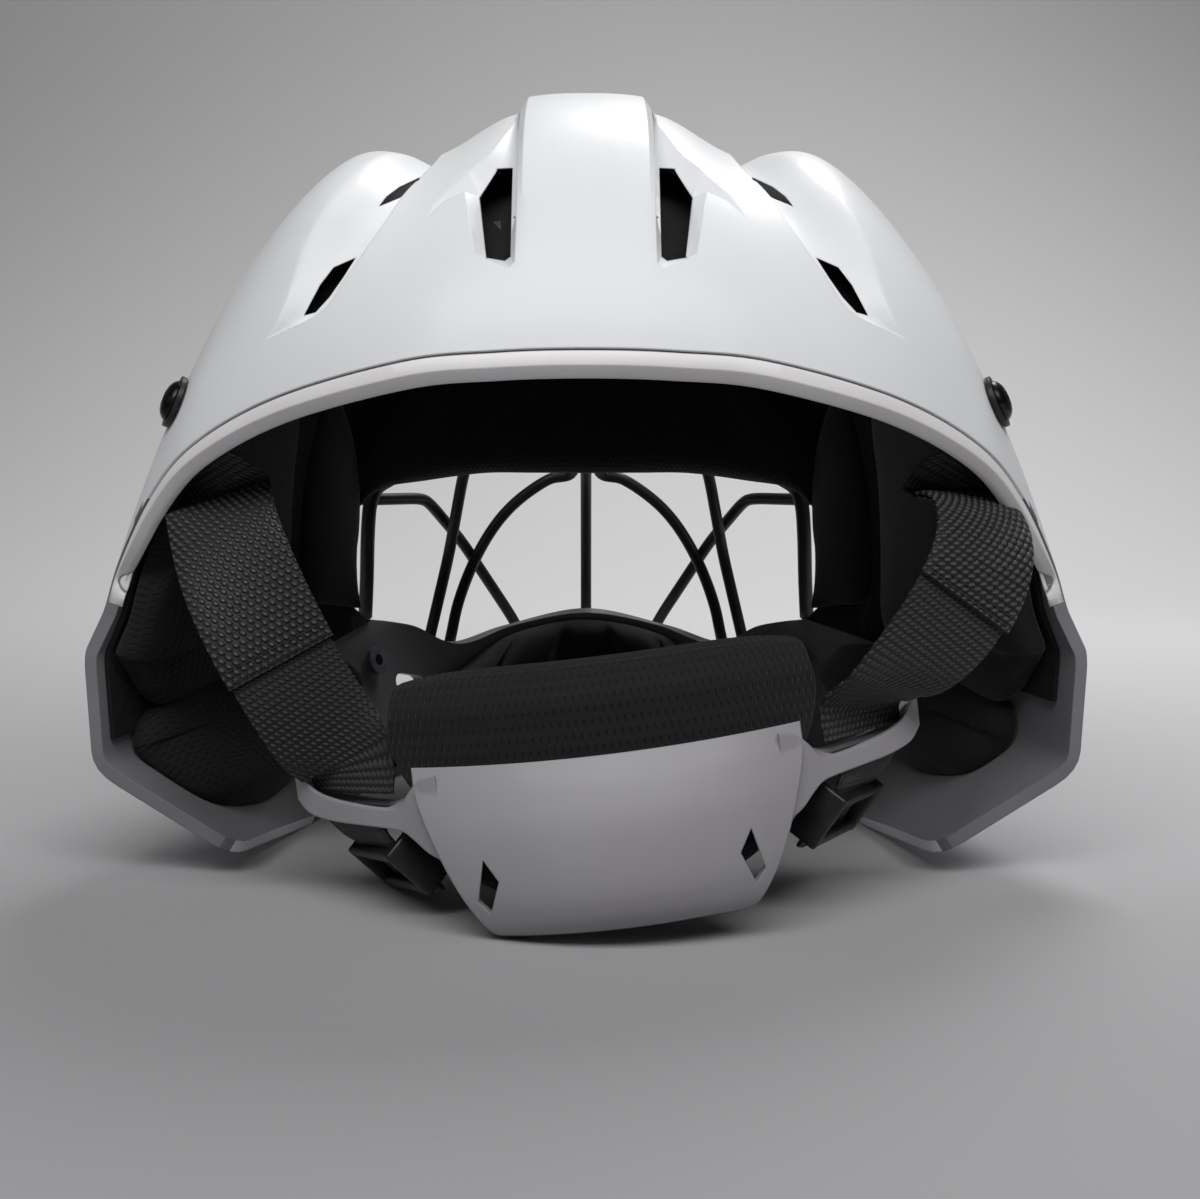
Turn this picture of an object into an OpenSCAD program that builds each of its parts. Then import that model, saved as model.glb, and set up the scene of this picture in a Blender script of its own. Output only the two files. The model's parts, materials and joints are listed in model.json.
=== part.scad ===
// Baseball catcher helmet, hockey style, standing on its jaw. Millimetres, +Z up.
// +Y is the side the wearer looks to, +X is right when seen from behind.
// Origin: on the floor, in the middle plane, under the middle of the head space.

/* [Overall size] */
// Width of the shell over the ear flares
shell_width = 263; // [240:1:285]
// Length of the shell from its rear edge to the chin
shell_length = 294; // [270:1:320]
// Height of the shell over its jaw
shell_height = 211; // [195:1:230]

/* [Shell] */
// Wall of the moulded shell
shell_wall = 3.5; // [2.5:0.1:5]
// Rise of the raised ridge over the middle of the crown
ridge_rise = 3.6; // [0:0.2:6]
// Half width of the flat top of that ridge
ridge_half = 15; // [10:1:18]
// Height of the edge band under the rear edge of the shell
band_height = 6; // [4:0.5:9]
// Thickness of the edge band
band_wall = 4; // [3:0.5:6]

/* [Cage] */
// Diameter of the coated wire of the cage frame
frame_wire = 5.2; // [4:0.1:6]
// Diameter of the coated inner wires
inner_wire = 4.5; // [3.5:0.1:5.5]
// Play between a wire and its clip
wire_play = 0.15; // [0.05:0.05:0.4]
// Shank diameter of the cage and strap screws
screw_shank = 4; // [3:0.5:5]
// Head diameter of the cage screws
screw_head = 8; // [7:0.5:10]

/* [Padding] */
// Gap between two layers that lie on each other
layer_gap = 0.3; // [0.1:0.05:0.5]
// Thickness of the foam liner under the crown
liner_wall = 8; // [5:0.5:12]
// Thickness of the foam liners in the sides
side_liner_wall = 4; // [2.5:0.5:6]
// Crown of the forehead pad
forehead_thick = 15; // [10:1:20]
// Crown of the ear pads on the side liners
ear_thick = 11; // [8:1:18]
// Crown of the jaw pads
jaw_thick = 15; // [10:1:22]
// Crown of the temple pads
temple_thick = 11; // [8:1:16]
// Crown of the chin pad
chin_thick = 12; // [8:1:18]

/* [Straps] */
// Width of the elastic straps
strap_width = 27; // [20:1:38]
// Thickness of the elastic, doubled and stitched
strap_thick = 2.6; // [1.5:0.1:4]
// Thickness of the single tail
tail_thick = 1.8; // [1:0.1:3]
// Head diameter of the strap screws
anchor_head = 10; // [8:0.5:13]

/* [Back plate] */
// Wall of the back plate
plate_wall = 3; // [2:0.1:4]
// Roll of the back plate in its straps, right side up
plate_roll = 7; // [0:0.5:9]
// Shift of the back plate to the right
plate_shift = 4.5; // [0:0.5:6]
// Height of the middle of the back plate's upper edge above the floor
plate_top = 44; // [43:0.5:60]
// Crown of the back plate pad
plate_pad_thick = 14; // [8:1:18]

/* [Hidden] */
$fn = 48;
last = 13;
wire_sides = 10;
shell_rows = 20;
// The control points below are drawn for the sizes above, and scaled by these when a size changes
fit = [shell_width / 263, shell_length / 294, shell_height / 211];
function fitted(p) = [p[0] * fit[0], p[1] * fit[1], p[2] * fit[2]];

// Edge of the face port, from the middle of the brow round the right side to the middle of the chin
port_edge = [[0, 118, 112], [20, 117.5, 112], [40, 114, 111], [60, 107, 108], [76, 97, 102], [86, 88, 92],
    [88, 85, 76], [88, 87, 62], [85, 93, 55], [80, 101, 51], [68, 115, 49], [53, 131, 41], [33, 155, 45],
    [0, 165, 51]];
// Front and rear guide points of the curves that run from the port to the rear edge
guide_front = [[0, 122, 234], [20, 121, 231], [39, 118, 216], [56, 112, 220], [77, 104, 197], [94, 90, 161],
    [103, 74, 120], [105, 62, 80], [101, 60, 58], [97, 62, 40], [90, 88, 22], [72, 115, 14], [45, 150, 16],
    [0, 176, 30]];
guide_rear = [[0, -92, 242], [20, -91.5, 239], [40, -90, 225], [60, -87, 229], [79, -80, 204.5],
    [97, -68, 168], [111, -60, 124], [117, -34, 82], [120, -26, 62], [116, -20, 30], [96, 0, 6], [84, 60, 0.5],
    [60, 120, 1], [0, 168, 3]];
// Rear and lower edge: crown, side, flare, jaw corner, jaw, chin
rear_edge = [[0, -118, 135], [20, -117, 134.5], [42, -112, 132.7], [73, -100, 125], [96, -87, 114],
    [110, -75, 101], [121, -65, 84], [126, -62.5, 71], [131.5, -62, 60], [130, -62, 29], [94, -62, 6],
    [84, 0, -0.7], [60, 85, -0.8], [0, 140, -0.7]];

function flip(p) = [-p[0], p[1], p[2]];
function pick(row, k) = k < 0 ? flip(pick(row, -k)) : k > last ? flip(pick(row, 2 * last - k)) : row[k];
function mix4(a, b, c, d, u) = 0.5 * (2 * b + (c - a) * u + (2 * a - 5 * b + 4 * c - d) * u * u
    + (3 * b - a - 3 * c + d) * u * u * u);
function along(row, s) = let (i = floor(s))
    fitted(mix4(pick(row, i - 1), pick(row, i), pick(row, i + 1), pick(row, i + 2), s - i));
// The rear edge runs straight from corner to corner down the flare and along the jaw corner
function corners(s) = let (a = abs(s)) a >= 7 && a < 11;
function along_edge(s) = let (i = floor(s)) corners(s)
    ? fitted(pick(rear_edge, i) + (s - i) * (pick(rear_edge, i + 1) - pick(rear_edge, i)))
    : along(rear_edge, s);
function surf(s, t) = let (m = 1 - t) m * m * m * along(port_edge, s) + 3 * m * m * t * along(guide_front, s)
    + 3 * m * t * t * along(guide_rear, s) + t * t * t * along_edge(s);
function unit(v) = v / norm(v);
function outward(s, t, e = 0.004) =
    unit(cross(surf(s, t + e) - surf(s, t - e), surf(s + e, t) - surf(s - e, t)));
// Point at a depth under the outer face of the shell
function skin(s, t, depth) = surf(s, t) - depth * outward(s, t);
function clamp01(v) = max(0, min(1, v));
function ease(a, b, v) = let (u = clamp01((v - a) / (b - a))) u * u * (3 - 2 * u);
function ridge(s, t) = ridge_rise * (1 - ease(ridge_half - 2, ridge_half + 4, abs(surf(s, t)[0])))
    * ease(0.03, 0.16, t) * (1 - ease(0.8, 0.95, t)) * (abs(s) < 4 ? 1 : 0);
function edge_speed(s) = 3 * norm(along(rear_edge, s) - along(guide_rear, s));

// Faces of a slab between two point grids of (n + 1) x (m + 1), the first grid outside
function tri(a, b, c, d) = [[a, b, c], [a, c, d]];
function slab_faces(n, m) = let (w = m + 1, o = (n + 1) * (m + 1)) [
    for (i = [0 : n - 1], j = [0 : m - 1], f = tri(i * w + j, (i + 1) * w + j, (i + 1) * w + j + 1, i * w + j + 1)) f,
    for (i = [0 : n - 1], j = [0 : m - 1],
        f = tri(o + i * w + j, o + i * w + j + 1, o + (i + 1) * w + j + 1, o + (i + 1) * w + j)) f,
    for (i = [0 : n - 1], f = tri((i + 1) * w, i * w, o + i * w, o + (i + 1) * w)) f,
    for (i = [0 : n - 1], f = tri(i * w + m, (i + 1) * w + m, o + (i + 1) * w + m, o + i * w + m)) f,
    for (j = [0 : m - 1], f = tri(j, j + 1, o + j + 1, o + j)) f,
    for (j = [0 : m - 1], f = tri(n * w + j + 1, n * w + j, o + n * w + j, o + n * w + j + 1)) f];
// The same for a slab that closes on itself in the first direction
function ring_faces(n, m) = let (w = m + 1, o = n * (m + 1)) [
    for (i = [0 : n - 1], j = [0 : m - 1], k = [(i + 1) % n], f = tri(i * w + j, k * w + j, k * w + j + 1, i * w + j + 1)) f,
    for (i = [0 : n - 1], j = [0 : m - 1], k = [(i + 1) % n],
        f = tri(o + i * w + j, o + i * w + j + 1, o + k * w + j + 1, o + k * w + j)) f,
    for (i = [0 : n - 1], k = [(i + 1) % n], f = tri(k * w, i * w, o + i * w, o + k * w)) f,
    for (i = [0 : n - 1], k = [(i + 1) % n], f = tri(i * w + m, k * w + m, o + k * w + m, o + i * w + m)) f];
module slab(outer, inner, n, m) polyhedron(points = concat(outer, inner), faces = slab_faces(n, m));

// Cushion on the inside of the shell: a patch with drawn-in edges, round corners and a crown
function crown(u, v) = (1 - pow(abs(2 * u - 1), 4)) * (1 - pow(abs(2 * v - 1), 4));
module cushion(s0, s1, t0, t1, depth, thick, edge = 3, n = 12, m = 10, corner = 0.22, channels = 0) {
    us = [for (i = [0 : n]) i / n];
    vs = [for (j = [0 : m]) j / m];
    function ss(u, v) = let (mid = (s0 + s1) / 2) mid + (u - 0.5) * (s1 - s0) * (1 - corner * pow(abs(2 * v - 1), 5));
    function tt(u, v) = let (mid = (t0 + t1) / 2) mid + (v - 0.5) * (t1 - t0) * (1 - corner * pow(abs(2 * u - 1), 5));
    function sewn(u) = channels == 0 ? 1 : 1 - 0.4 * pow(abs(cos(180 * u * channels)), 8);
    outer = [for (u = us, v = vs) skin(ss(u, v), tt(u, v), depth)];
    inner = [for (u = us, v = vs)
        skin(ss(u, v), tt(u, v), depth + edge + (thick - edge) * crown(u, v) * sewn(u))];
    slab(outer, inner, n, m);
}

// Round wire along a chain of points: the bends are rounded, then rings are carried along it
function bend(a, p, b, r) = let (u = p + unit(a - p) * min(r, 0.4 * norm(a - p)),
    v = p + unit(b - p) * min(r, 0.4 * norm(b - p))) [u, (u + 2 * p + v) / 4, v];
function rounded(p, r) = let (k = len(p) - 1)
    [p[0], for (i = [1 : k - 1], q = bend(p[i - 1], p[i], p[i + 1], r)) q, p[k]];
function carried(dirs, side, i = 0) = i == len(dirs) ? []
    : let (next = unit(side - (side * dirs[i]) * dirs[i])) concat([next], carried(dirs, next, i + 1));
module wire(points, d, r = 2.5) {
    path = rounded(points, r);
    k = len(path) - 1;
    dirs = [for (i = [0 : k]) unit(path[min(i + 1, k)] - path[max(i - 1, 0)])];
    sides = carried(dirs, [1, 0.2, 0.1]);
    q = wire_sides;
    rings = [for (i = [0 : k], a = [0 : q - 1])
        path[i] + d / 2 * (cos(360 * a / q) * sides[i] + sin(360 * a / q) * cross(dirs[i], sides[i]))];
    polyhedron(points = rings, faces = concat([[for (a = [0 : q - 1]) a]], [[for (a = [q - 1 : -1 : 0]) k * q + a]],
        [for (i = [0 : k - 1], a = [0 : q - 1], f = tri(i * q + a, (i + 1) * q + a,
            (i + 1) * q + (a + 1) % q, i * q + (a + 1) % q)) f]));
}
// Places children with +Z along a direction and +X as near as it goes to a second one
module aim(origin, z_dir, x_dir) {
    z = unit(z_dir);
    y = unit(cross(z, x_dir));
    x = cross(y, z);
    multmatrix([[x[0], y[0], z[0], origin[0]], [x[1], y[1], z[1], origin[1]], [x[2], y[2], z[2], origin[2]],
        [0, 0, 0, 1]]) children();
}
module both() { children(); mirror([1, 0, 0]) children(); }
// Hole right through the wall at a place on the shell
module shell_hole(s, t, d) aim(surf(s, t), outward(s, t), [0, 0, 1])
    translate([0, 0, -22]) cylinder(h = 32, d = d);

// Place of the strap screw on the shell, along the port and from the port to the rear edge
anchor_at = [4.72, 0.9];

// Shell with its vents and screw holes
module shell() color("white") difference() {
    n = 2 * last * 4;
    m = shell_rows;
    stops = [for (i = [0 : n - 1]) i / 4 - last];
    outer = [for (s = stops, j = [0 : m]) skin(s, j / m, -ridge(s, j / m))];
    inner = [for (s = stops, j = [0 : m]) skin(s, j / m, shell_wall)];
    polyhedron(points = concat(outer, inner), faces = ring_faces(n, m));
    both() {
        // Two crown vents beside the ridge
        scale(fit) rear_cut([[18, 184], [21, 178], [27, 172], [26, 156], [21, 156]], -70, 60);
        // Side vents in the valley outside them: a slit and a longer slot
        scale(fit) rear_cut([[40, 178.5], [43, 177.5], [52, 169], [49, 169]], -60, 60);
        scale(fit) rear_cut([[55, 162], [60, 160], [70, 146], [66, 145.5]], -70, 60);
        // Oval vent low in each jaw side
        translate(fitted([40, 103, 29])) {
            rotate([0, 90, 0]) cylinder(h = 60, d = 7);
            translate([0, 8, -2]) rotate([0, 90, 0]) cylinder(h = 60, d = 7);
            translate([0, 0, -3.5]) rotate([-14, 0, 0]) cube([60, 8.25, 7]);
        }
        shell_hole(anchor_at[0], anchor_at[1], screw_shank + 0.3);
    }
    clip_holes(screw_shank + 0.3);
    // Flat foot on which the helmet stands
    translate([-200, -200, -20]) cube([400, 500, 20]);
}
// Cuts a polygon of x and z through the rear of the crown
module rear_cut(points, y1, depth) translate([0, y1, 0]) rotate([90, 0, 0]) linear_extrude(height = depth) polygon(points);

// Edge band under the rear edge
module rim_band() {
    n = 52;
    ends = 6.5;
    stops = [for (i = [0 : n]) -ends + 2 * ends * i / n];
    function low(s, h) = 1 + h / edge_speed(s);
    function fade(s) = band_height * (1 - 0.75 * ease(5, ends, abs(s)));
    outer = [for (s = stops, h = [0.75, fade(s)]) skin(s, low(s, h), 0.5)];
    inner = [for (s = stops, h = [0.75, fade(s)]) skin(s, low(s, h), 0.5 + band_wall)];
    color("gainsboro") slab(outer, inner, n, 1);
}

// Liner and cushions
pad_seat = shell_wall + layer_gap;
cushion_seat = pad_seat + 0.35;
module crown_liner() color("dimgray")
    cushion(-3.75, 3.75, 4 / shell_rows, 18 / shell_rows, pad_seat, liner_wall, edge = liner_wall, n = 30, m = 14,
        corner = 0);
module forehead_pad() color("black") difference() {
    cushion(-5.25, 5.25, -0.016, 0.16, cushion_seat, forehead_thick, n = 34, m = 8, corner = 0.3);
    clip_holes(13);
}
module crown_pad() color("black")
    cushion(-2.9, 2.9, 0.36, 0.66, pad_seat + liner_wall + 2.4, 12, n = 18, m = 8);
module temple_pad_right() color("black") cushion(5.5, 7.6, 0.01, 0.27, cushion_seat, temple_thick, n = 10, m = 10);
module temple_pad_left() mirror([1, 0, 0]) temple_pad_right();
// Foam liners in the sides, behind the temple and ear pads
module side_liner_right() color("dimgray")
    cushion(4, 8.25, 6 / shell_rows, 15 / shell_rows, pad_seat, side_liner_wall, edge = side_liner_wall, n = 17, m = 9,
        corner = 0);
module side_liner_left() mirror([1, 0, 0]) side_liner_right();
module ear_pad_right() color("black")
    cushion(5.2, 8.55, 0.4, 0.955, pad_seat + side_liner_wall + 0.6, ear_thick, n = 14, m = 9);
module ear_pad_left() mirror([1, 0, 0]) ear_pad_right();
module jaw_pad_right() color("black") cushion(8.72, 9.95, 0.26, 0.93, cushion_seat, jaw_thick, n = 10, m = 9);
module jaw_pad_left() mirror([1, 0, 0]) jaw_pad_right();
module chin_pad() color("black")
    cushion(11.1, 14.9, 0.03, 0.86, cushion_seat, chin_thick, n = 32, m = 8, channels = 5);

// Cage: a bent frame in front of the port, and inner wires welded to it
function cage_y(x, z) = 178 - x * x / 90 - (z > 60 ? 0.0107 * (z - 60) * (z - 60) : 0);
function on_cage(x, z, out = 0) = fitted([x, cage_y(x, z), z]) + [0, out * sqrt(1 + x * x / 2025), 0];
function off_shell(s, t, gap = 0.9) = skin(s, t, -(frame_wire / 2 + gap));
layer = inner_wire + 0.1;
brow_seat = [off_shell(2.35, 0.045), off_shell(2.85, 0.045)];
jaw_seat = [off_shell(9.65, 0.09), off_shell(10.3, 0.205)];
brow_half = concat([for (s = [0, 0.9, 1.8]) off_shell(s, 0.045)], brow_seat, [off_shell(3.3, 0.045)]);
side_half = [for (p = [[68.5, 108.5, 107], [72.5, 106, 104.5], [77, 101, 101], [79, 98, 95], [80, 98, 84],
    [81, 101, 68], [82.2, 104, 53.5]]) fitted(p)];
chin_half = concat(jaw_seat, [for (p = [[10.6, 0.25], [10.9, 0.29], [11.25, 0.31], [11.6, 0.32], [11.9, 0.32],
    [12.2, 0.33], [12.5, 0.33], [12.8, 0.33]])
    off_shell(p[0], p[1])]);
module cage_frame() color("black") {
    half = concat(brow_half, side_half);
    wire(concat([for (i = [len(half) - 1 : -1 : 1]) flip(half[i])], half), frame_wire);
}
module cage_chin() color("black") {
    half = concat([fitted([82.3, 104.6, 51.4])], chin_half);
    wire(concat([for (p = half) flip(p)], [off_shell(13, 0.33)], [for (i = [len(half) - 1 : -1 : 0]) half[i]]),
        frame_wire);
}
module cage_center() color("black") wire([off_shell(0, 0.045), fitted([0, 132, 120]), on_cage(0, 107), on_cage(0, 88),
    on_cage(0, 66), on_cage(0, 44), off_shell(13, 0.33)], inner_wire);
module cage_arc_right() color("black") wire([off_shell(0.25, 0.045), fitted([5, 132, 120]), on_cage(5.5, 107),
    on_cage(15, 104), on_cage(25.7, 97), on_cage(34, 89), on_cage(41, 79), on_cage(47, 67), on_cage(51.5, 54),
    on_cage(54, 42), on_cage(56.5, 30), fitted([57.5, 132.7, 19.4])], inner_wire);
module cage_arc_left() mirror([1, 0, 0]) cage_arc_right();
module cage_upright_right() color("black") wire([off_shell(2, 0.045), fitted([43, 122, 118]), on_cage(46, 110),
    on_cage(48, 104), on_cage(54.5, 74), on_cage(61, 45), on_cage(64, 31), fitted([65.2, 119.2, 19.2])], inner_wire);
module cage_upright_left() mirror([1, 0, 0]) cage_upright_right();
module cage_diagonal_right() color("black") wire([skin(5.4, 0.08, -(inner_wire / 2 + 0.4)), fitted([86, 95.5, 97.5]),
    fitted([79.8, 103.2, 97]), on_cage(64, 97, layer), on_cage(61, 95.5, layer), on_cage(50, 79, layer),
    on_cage(31, 46.5, layer), on_cage(26, 36, layer), fitted([25, 162.3, 25.2])], inner_wire);
module cage_diagonal_left() mirror([1, 0, 0]) cage_diagonal_right();

// Saddle clips that hold the cage frame to the shell, their screws and nuts
screw_off = 9;
module at_clip(seat, s, t) aim((seat[0] + seat[1]) / 2, outward(s, t), seat[1] - seat[0]) children();
module at_clips() both() {
    at_clip(brow_seat, 2.6, 0.045) children();
    at_clip(jaw_seat, 10, 0.15) children();
}
module clip_holes(d) at_clips() translate([0, -screw_off, -14]) cylinder(h = 24, d = d);
module cage_clips() color("black") at_clips() difference() {
    union() {
        translate([-4.5, -screw_off - 5, -3]) cube([9, screw_off + 5, 4.5]);
        translate([-4.5, 0, 0]) rotate([0, 90, 0]) cylinder(h = 9, d = frame_wire + 4);
    }
    translate([-8, 0, 0]) rotate([0, 90, 0]) cylinder(h = 16, d = frame_wire + 2 * wire_play);
    translate([-8, -frame_wire / 2 - wire_play, -8]) cube([16, frame_wire + 2 * wire_play, 8]);
    translate([-8, -8, -8]) cube([16, 16, 5]);
    translate([0, -screw_off, -6]) cylinder(h = 20, d = screw_shank + 0.3);
}
module cage_screws() color("black") at_clips() translate([0, -screw_off, 0]) {
    translate([0, 0, 1.55]) cylinder(h = 2.2, d = screw_head);
    translate([0, 0, -10.8]) cylinder(h = 12.4, d = screw_shank);
}
module cage_nuts() color("silver") at_clips() translate([0, -screw_off, 0]) difference() {
    translate([0, 0, -10.7]) cylinder(h = 1.8, d = 10);
    translate([0, 0, -12]) cylinder(h = 6, d = screw_shank + 0.1);
}

// Strap screws, from the outside through the shell to the strap's screwed end
strap_depth = shell_wall + 1.3 + strap_thick / 2;
module at_anchor() aim(surf(anchor_at[0], anchor_at[1]), outward(anchor_at[0], anchor_at[1]), [0, 0, 1]) children();
module anchor_screws() color("black") both() at_anchor() {
    translate([0, 0, 1.55]) intersection() {
        translate([0, 0, -3.1]) sphere(d = 13);
        cylinder(h = 6, d = anchor_head);
    }
    translate([0, 0, -strap_depth - 4]) cylinder(h = strap_depth + 5.6, d = screw_shank);
}
module anchor_washers() color("black") both() at_anchor() difference() {
    translate([0, 0, 0.3]) cylinder(h = 1.2, d = anchor_head + 3.5);
    translate([0, 0, -1]) cylinder(h = 4, d = screw_shank + 0.3);
}
module anchor_nuts() color("silver") both() at_anchor() difference() {
    translate([0, 0, -strap_depth - strap_thick / 2 - 2.4]) cylinder(h = 1.9, d = 10);
    translate([0, 0, -strap_depth - 8]) cylinder(h = 12, d = screw_shank + 0.1);
}

// Flat webbing along a chain of points, with its width direction at each point
module webbing(points, widths, width, thick, skew = false) {
    n = len(points) - 1;
    function dir(i) = unit(points[min(i + 1, n)] - points[max(i - 1, 0)]);
    function across(i) = skew && i == 0 ? widths[0] : unit(widths[i] - (widths[i] * dir(i)) * dir(i));
    function face(i) = unit(cross(across(i), dir(i)));
    outer = [for (i = [0 : n], w = [-0.5, 0.5]) points[i] + across(i) * w * width + face(i) * thick / 2];
    inner = [for (i = [0 : n], w = [-0.5, 0.5]) points[i] + across(i) * w * width - face(i) * thick / 2];
    slab(outer, inner, n, 1);
}

// Back plate, drawn level about the middle of its upper edge, then rolled and set in place
plate_y = -117 * fit[1];
module in_place() translate([plate_shift, plate_y, plate_top]) rotate([0, -plate_roll, 0]) children();
function placed(p) = let (c = cos(plate_roll), s = sin(plate_roll))
    [plate_shift + p[0] * c - p[2] * s, plate_y + p[1], plate_top + p[0] * s + p[2] * c];
function plan(x) = 0.00587 * x * x;
// Profile of the bowl: rearward bulge and height, and half width, from the upper edge down
bowl = [[0, 0, 46], [-4, -7, 45.5], [-7.5, -15, 43], [-8.5, -24, 39], [-5.5, -32, 34.5], [1.5, -37.5, 30],
    [10, -39.5, 26]];
function bowl_pt(u, j) = let (b = bowl[j], x = u * b[2]) [x, plan(x) + b[0] * (1 - 0.35 * u * u), b[1]];
function bowl_out(u, j) = let (e = 0.02, k = len(bowl) - 1)
    unit(cross(bowl_pt(u, min(j + 1, k)) - bowl_pt(u, max(j - 1, 0)), bowl_pt(u + e, j) - bowl_pt(u - e, j)));
slot_x = 63.5;
slot_y = plan(slot_x) + 5.7;
slot_turn = atan(2 * 0.00587 * slot_x);
module at_slot() translate([slot_x, slot_y, 0]) rotate([0, 0, slot_turn]) children();
module back_plate() color("white") in_place() difference() {
    union() {
        n = 16;
        k = len(bowl) - 1;
        us = [for (i = [0 : n]) 2 * i / n - 1];
        outer = [for (u = us, j = [0 : k]) bowl_pt(u, j)];
        inner = [for (u = us, j = [0 : k]) bowl_pt(u, j) - plate_wall * bowl_out(u, j)];
        slab(outer, inner, n, k);
        both() wing();
    }
    both() at_slot() translate([-strap_width / 2 - 0.5, -strap_thick / 2 - 1.2, -30])
        cube([strap_width + 1, strap_thick + 2.4, 40]);
    // Vent beside the middle on each side
    both() translate([26, 30, 0]) rotate([90, 0, 0]) linear_extrude(height = 60)
        polygon([[1, -22], [5, -17], [6, -27], [3, -30]]);
}
// Wing with the strap pocket: x, outer face behind the plan curve, thickness along y, top and bottom
wing_rows = [[40, -2.6, 3.2, -2, -22], [45, -2.2, 3.2, -2.5, -20], [48.5, -1.2, 4, -5, -17], [51, -0.4, 11.4, -7.2, -14.5],
    [56, 0, 11.4, -7, -13], [62, 0, 11.4, -6.2, -12.6], [68, 0, 11.4, -5.2, -12.6], [73, 0, 11.4, -4.2, -12.6],
    [75, 0, 11.4, -2.4, -12.2], [77, 0, 11.4, -1.2, -10.5]];
module wing() {
    n = len(wing_rows) - 1;
    outer = [for (r = wing_rows, z = [r[3], r[4]]) [r[0], plan(r[0]) + r[1], z]];
    inner = [for (r = wing_rows, z = [r[3], r[4]]) [r[0], plan(r[0]) + r[1] + r[2], z]];
    slab(outer, inner, n, 1);
}

module back_plate_pad() {
    n = 20;
    half = 43;
    prof = [[3.4, 12, 0.9], [2.9, 6, 1], [1.9, -4, 1], [-1.6, -12, 0.97], [-3.6, -20, 0.9], [-2.4, -27, 0.8],
        [3.2, -32, 0.66]];
    top = [[14.5, 19.5, 0.8], [9, 17.5, 0.86]];
    rows = concat(top, prof);
    k = len(rows) - 1;
    us = [for (i = [0 : n]) 2 * i / n - 1];
    function back(u, j) = let (x = u * half * rows[j][2])
        [x, plan(x) + rows[j][0] * (1 - 0.2 * u * u) + 2.8, rows[j][1] - 4 * pow(abs(u), 3) * (j < 3 ? 1 : 0)];
    function depth(u, j) = let (v = j / k) 3 + (plate_pad_thick - 3) * (1 - pow(abs(u), 5)) * sin(180 * clamp01(v * 0.92 + 0.04));
    outer = [for (u = us, j = [0 : k]) back(u, j)];
    inner = [for (u = us, j = [0 : k]) back(u, j) + [0, depth(u, j), 0.12 * depth(u, j)]];
    color("black") in_place() slab(outer, inner, n, k);
}

// Straps: a screwed end in the shell, the hanging strap, and the tail under the wing
exit_pt = fitted([92.5, -72.5, 103]);
exit_across = [0.95, 0.25, 0];
strap_way = [-0.36, -0.1, -0.93];
// Step on the shell, along and across its stations, that goes with a step in space
function on_skin(s, t, v, e = 0.004) = let (a = (surf(s + e, t) - surf(s - e, t)) / (2 * e),
    b = (surf(s, t + e) - surf(s, t - e)) / (2 * e), d = (a * a) * (b * b) - (a * b) * (a * b))
    [((b * b) * (a * v) - (a * b) * (b * v)) / d, ((a * a) * (b * v) - (a * b) * (a * v)) / d];
tab_rows = [[4.72, 0.86, 0], [4.72, 0.9, 0], [4.7, 0.935, 0], [4.66, 0.965, 0.45], [4.6, 1, 1]];
function tab_pt(row, w, depth, gap) = let (v = w * strap_width * unit(cross([0, 0, 1], outward(row[0], row[1]))),
    q = on_skin(row[0], row[1], v))
    (1 - row[2]) * skin(row[0] + q[0], row[1] + q[1], strap_depth + depth)
    + row[2] * (exit_pt + w * strap_width * exit_across + [0, 0, gap]
    + depth * unit(cross(exit_across, strap_way)));
module strap_end_right() color("black") difference() {
    across = [-0.5, -0.25, 0, 0.25, 0.5];
    slab([for (r = tab_rows, w = across) tab_pt(r, w, strap_thick / 2, 1 - 1.2 * w)],
        [for (r = tab_rows, w = across) tab_pt(r, w, -strap_thick / 2, 1 - 1.2 * w)], len(tab_rows) - 1, 4);
    shell_hole(anchor_at[0], anchor_at[1], screw_shank + 0.3);
}
module strap_end_left() mirror([1, 0, 0]) strap_end_right();
// Strap of one side: end is the point just inside the wing's slot, side is 1 right and -1 left
module hanging(side) {
    foot = placed([side * slot_x, slot_y, -7.6]);
    slot_axis = placed([side * slot_x, slot_y, 0]) - foot;
    head = [side * exit_pt[0], exit_pt[1], exit_pt[2]];
    top_across = [exit_across[0], side * exit_across[1], 0];
    foot_across = placed([side * slot_x + cos(slot_turn), plan(slot_x) + side * sin(slot_turn), 0])
        - placed([side * slot_x, plan(slot_x), 0]);
    n = 9;
    start = head - [0, 0, 0.7];
    // The strap bows outward and rearward, more on the right, and comes down straight into its slot
    over = foot + unit(slot_axis) * 7;
    bow = side > 0 ? [90, -82, 84] : [-80, -99, 66];
    low = over + (side > 0 ? [13, -11, 16] : [-2, -3, 12]);
    function at(v) = let (w = 1 - v) w * w * w * start + 3 * w * w * v * bow + 3 * w * v * v * low + v * v * v * over;
    webbing(concat([for (i = [0 : n]) at(i / n)], [foot]),
        concat([for (i = [0 : n]) top_across * (1 - i / n) + foot_across * i / n], [foot_across]),
        strap_width, strap_thick, skew = true);
}
module strap_right() color("black") hanging(1);
module strap_left() color("black") hanging(-1);
tail_dir = [-0.6, 0.2, -0.77];
tail_top = [slot_x, slot_y, -10.3];
tail_turn = [slot_x, slot_y, -15.5];
tail_across = unit(cross(cross(tail_dir, [cos(slot_turn), sin(slot_turn), 0.45]), tail_dir));
module tail() webbing([tail_top, tail_turn + [0, 0, 2.4], tail_turn + 2.5 * unit(tail_dir),
    tail_turn + 24 * unit(tail_dir)], [[cos(slot_turn), sin(slot_turn), 0], [cos(slot_turn), sin(slot_turn), 0.05],
    tail_across, tail_across], strap_width - 0.6, tail_thick);
module tail_right() color("black") in_place() tail();
module tail_left() color("black") in_place() mirror([1, 0, 0]) tail();
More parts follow.
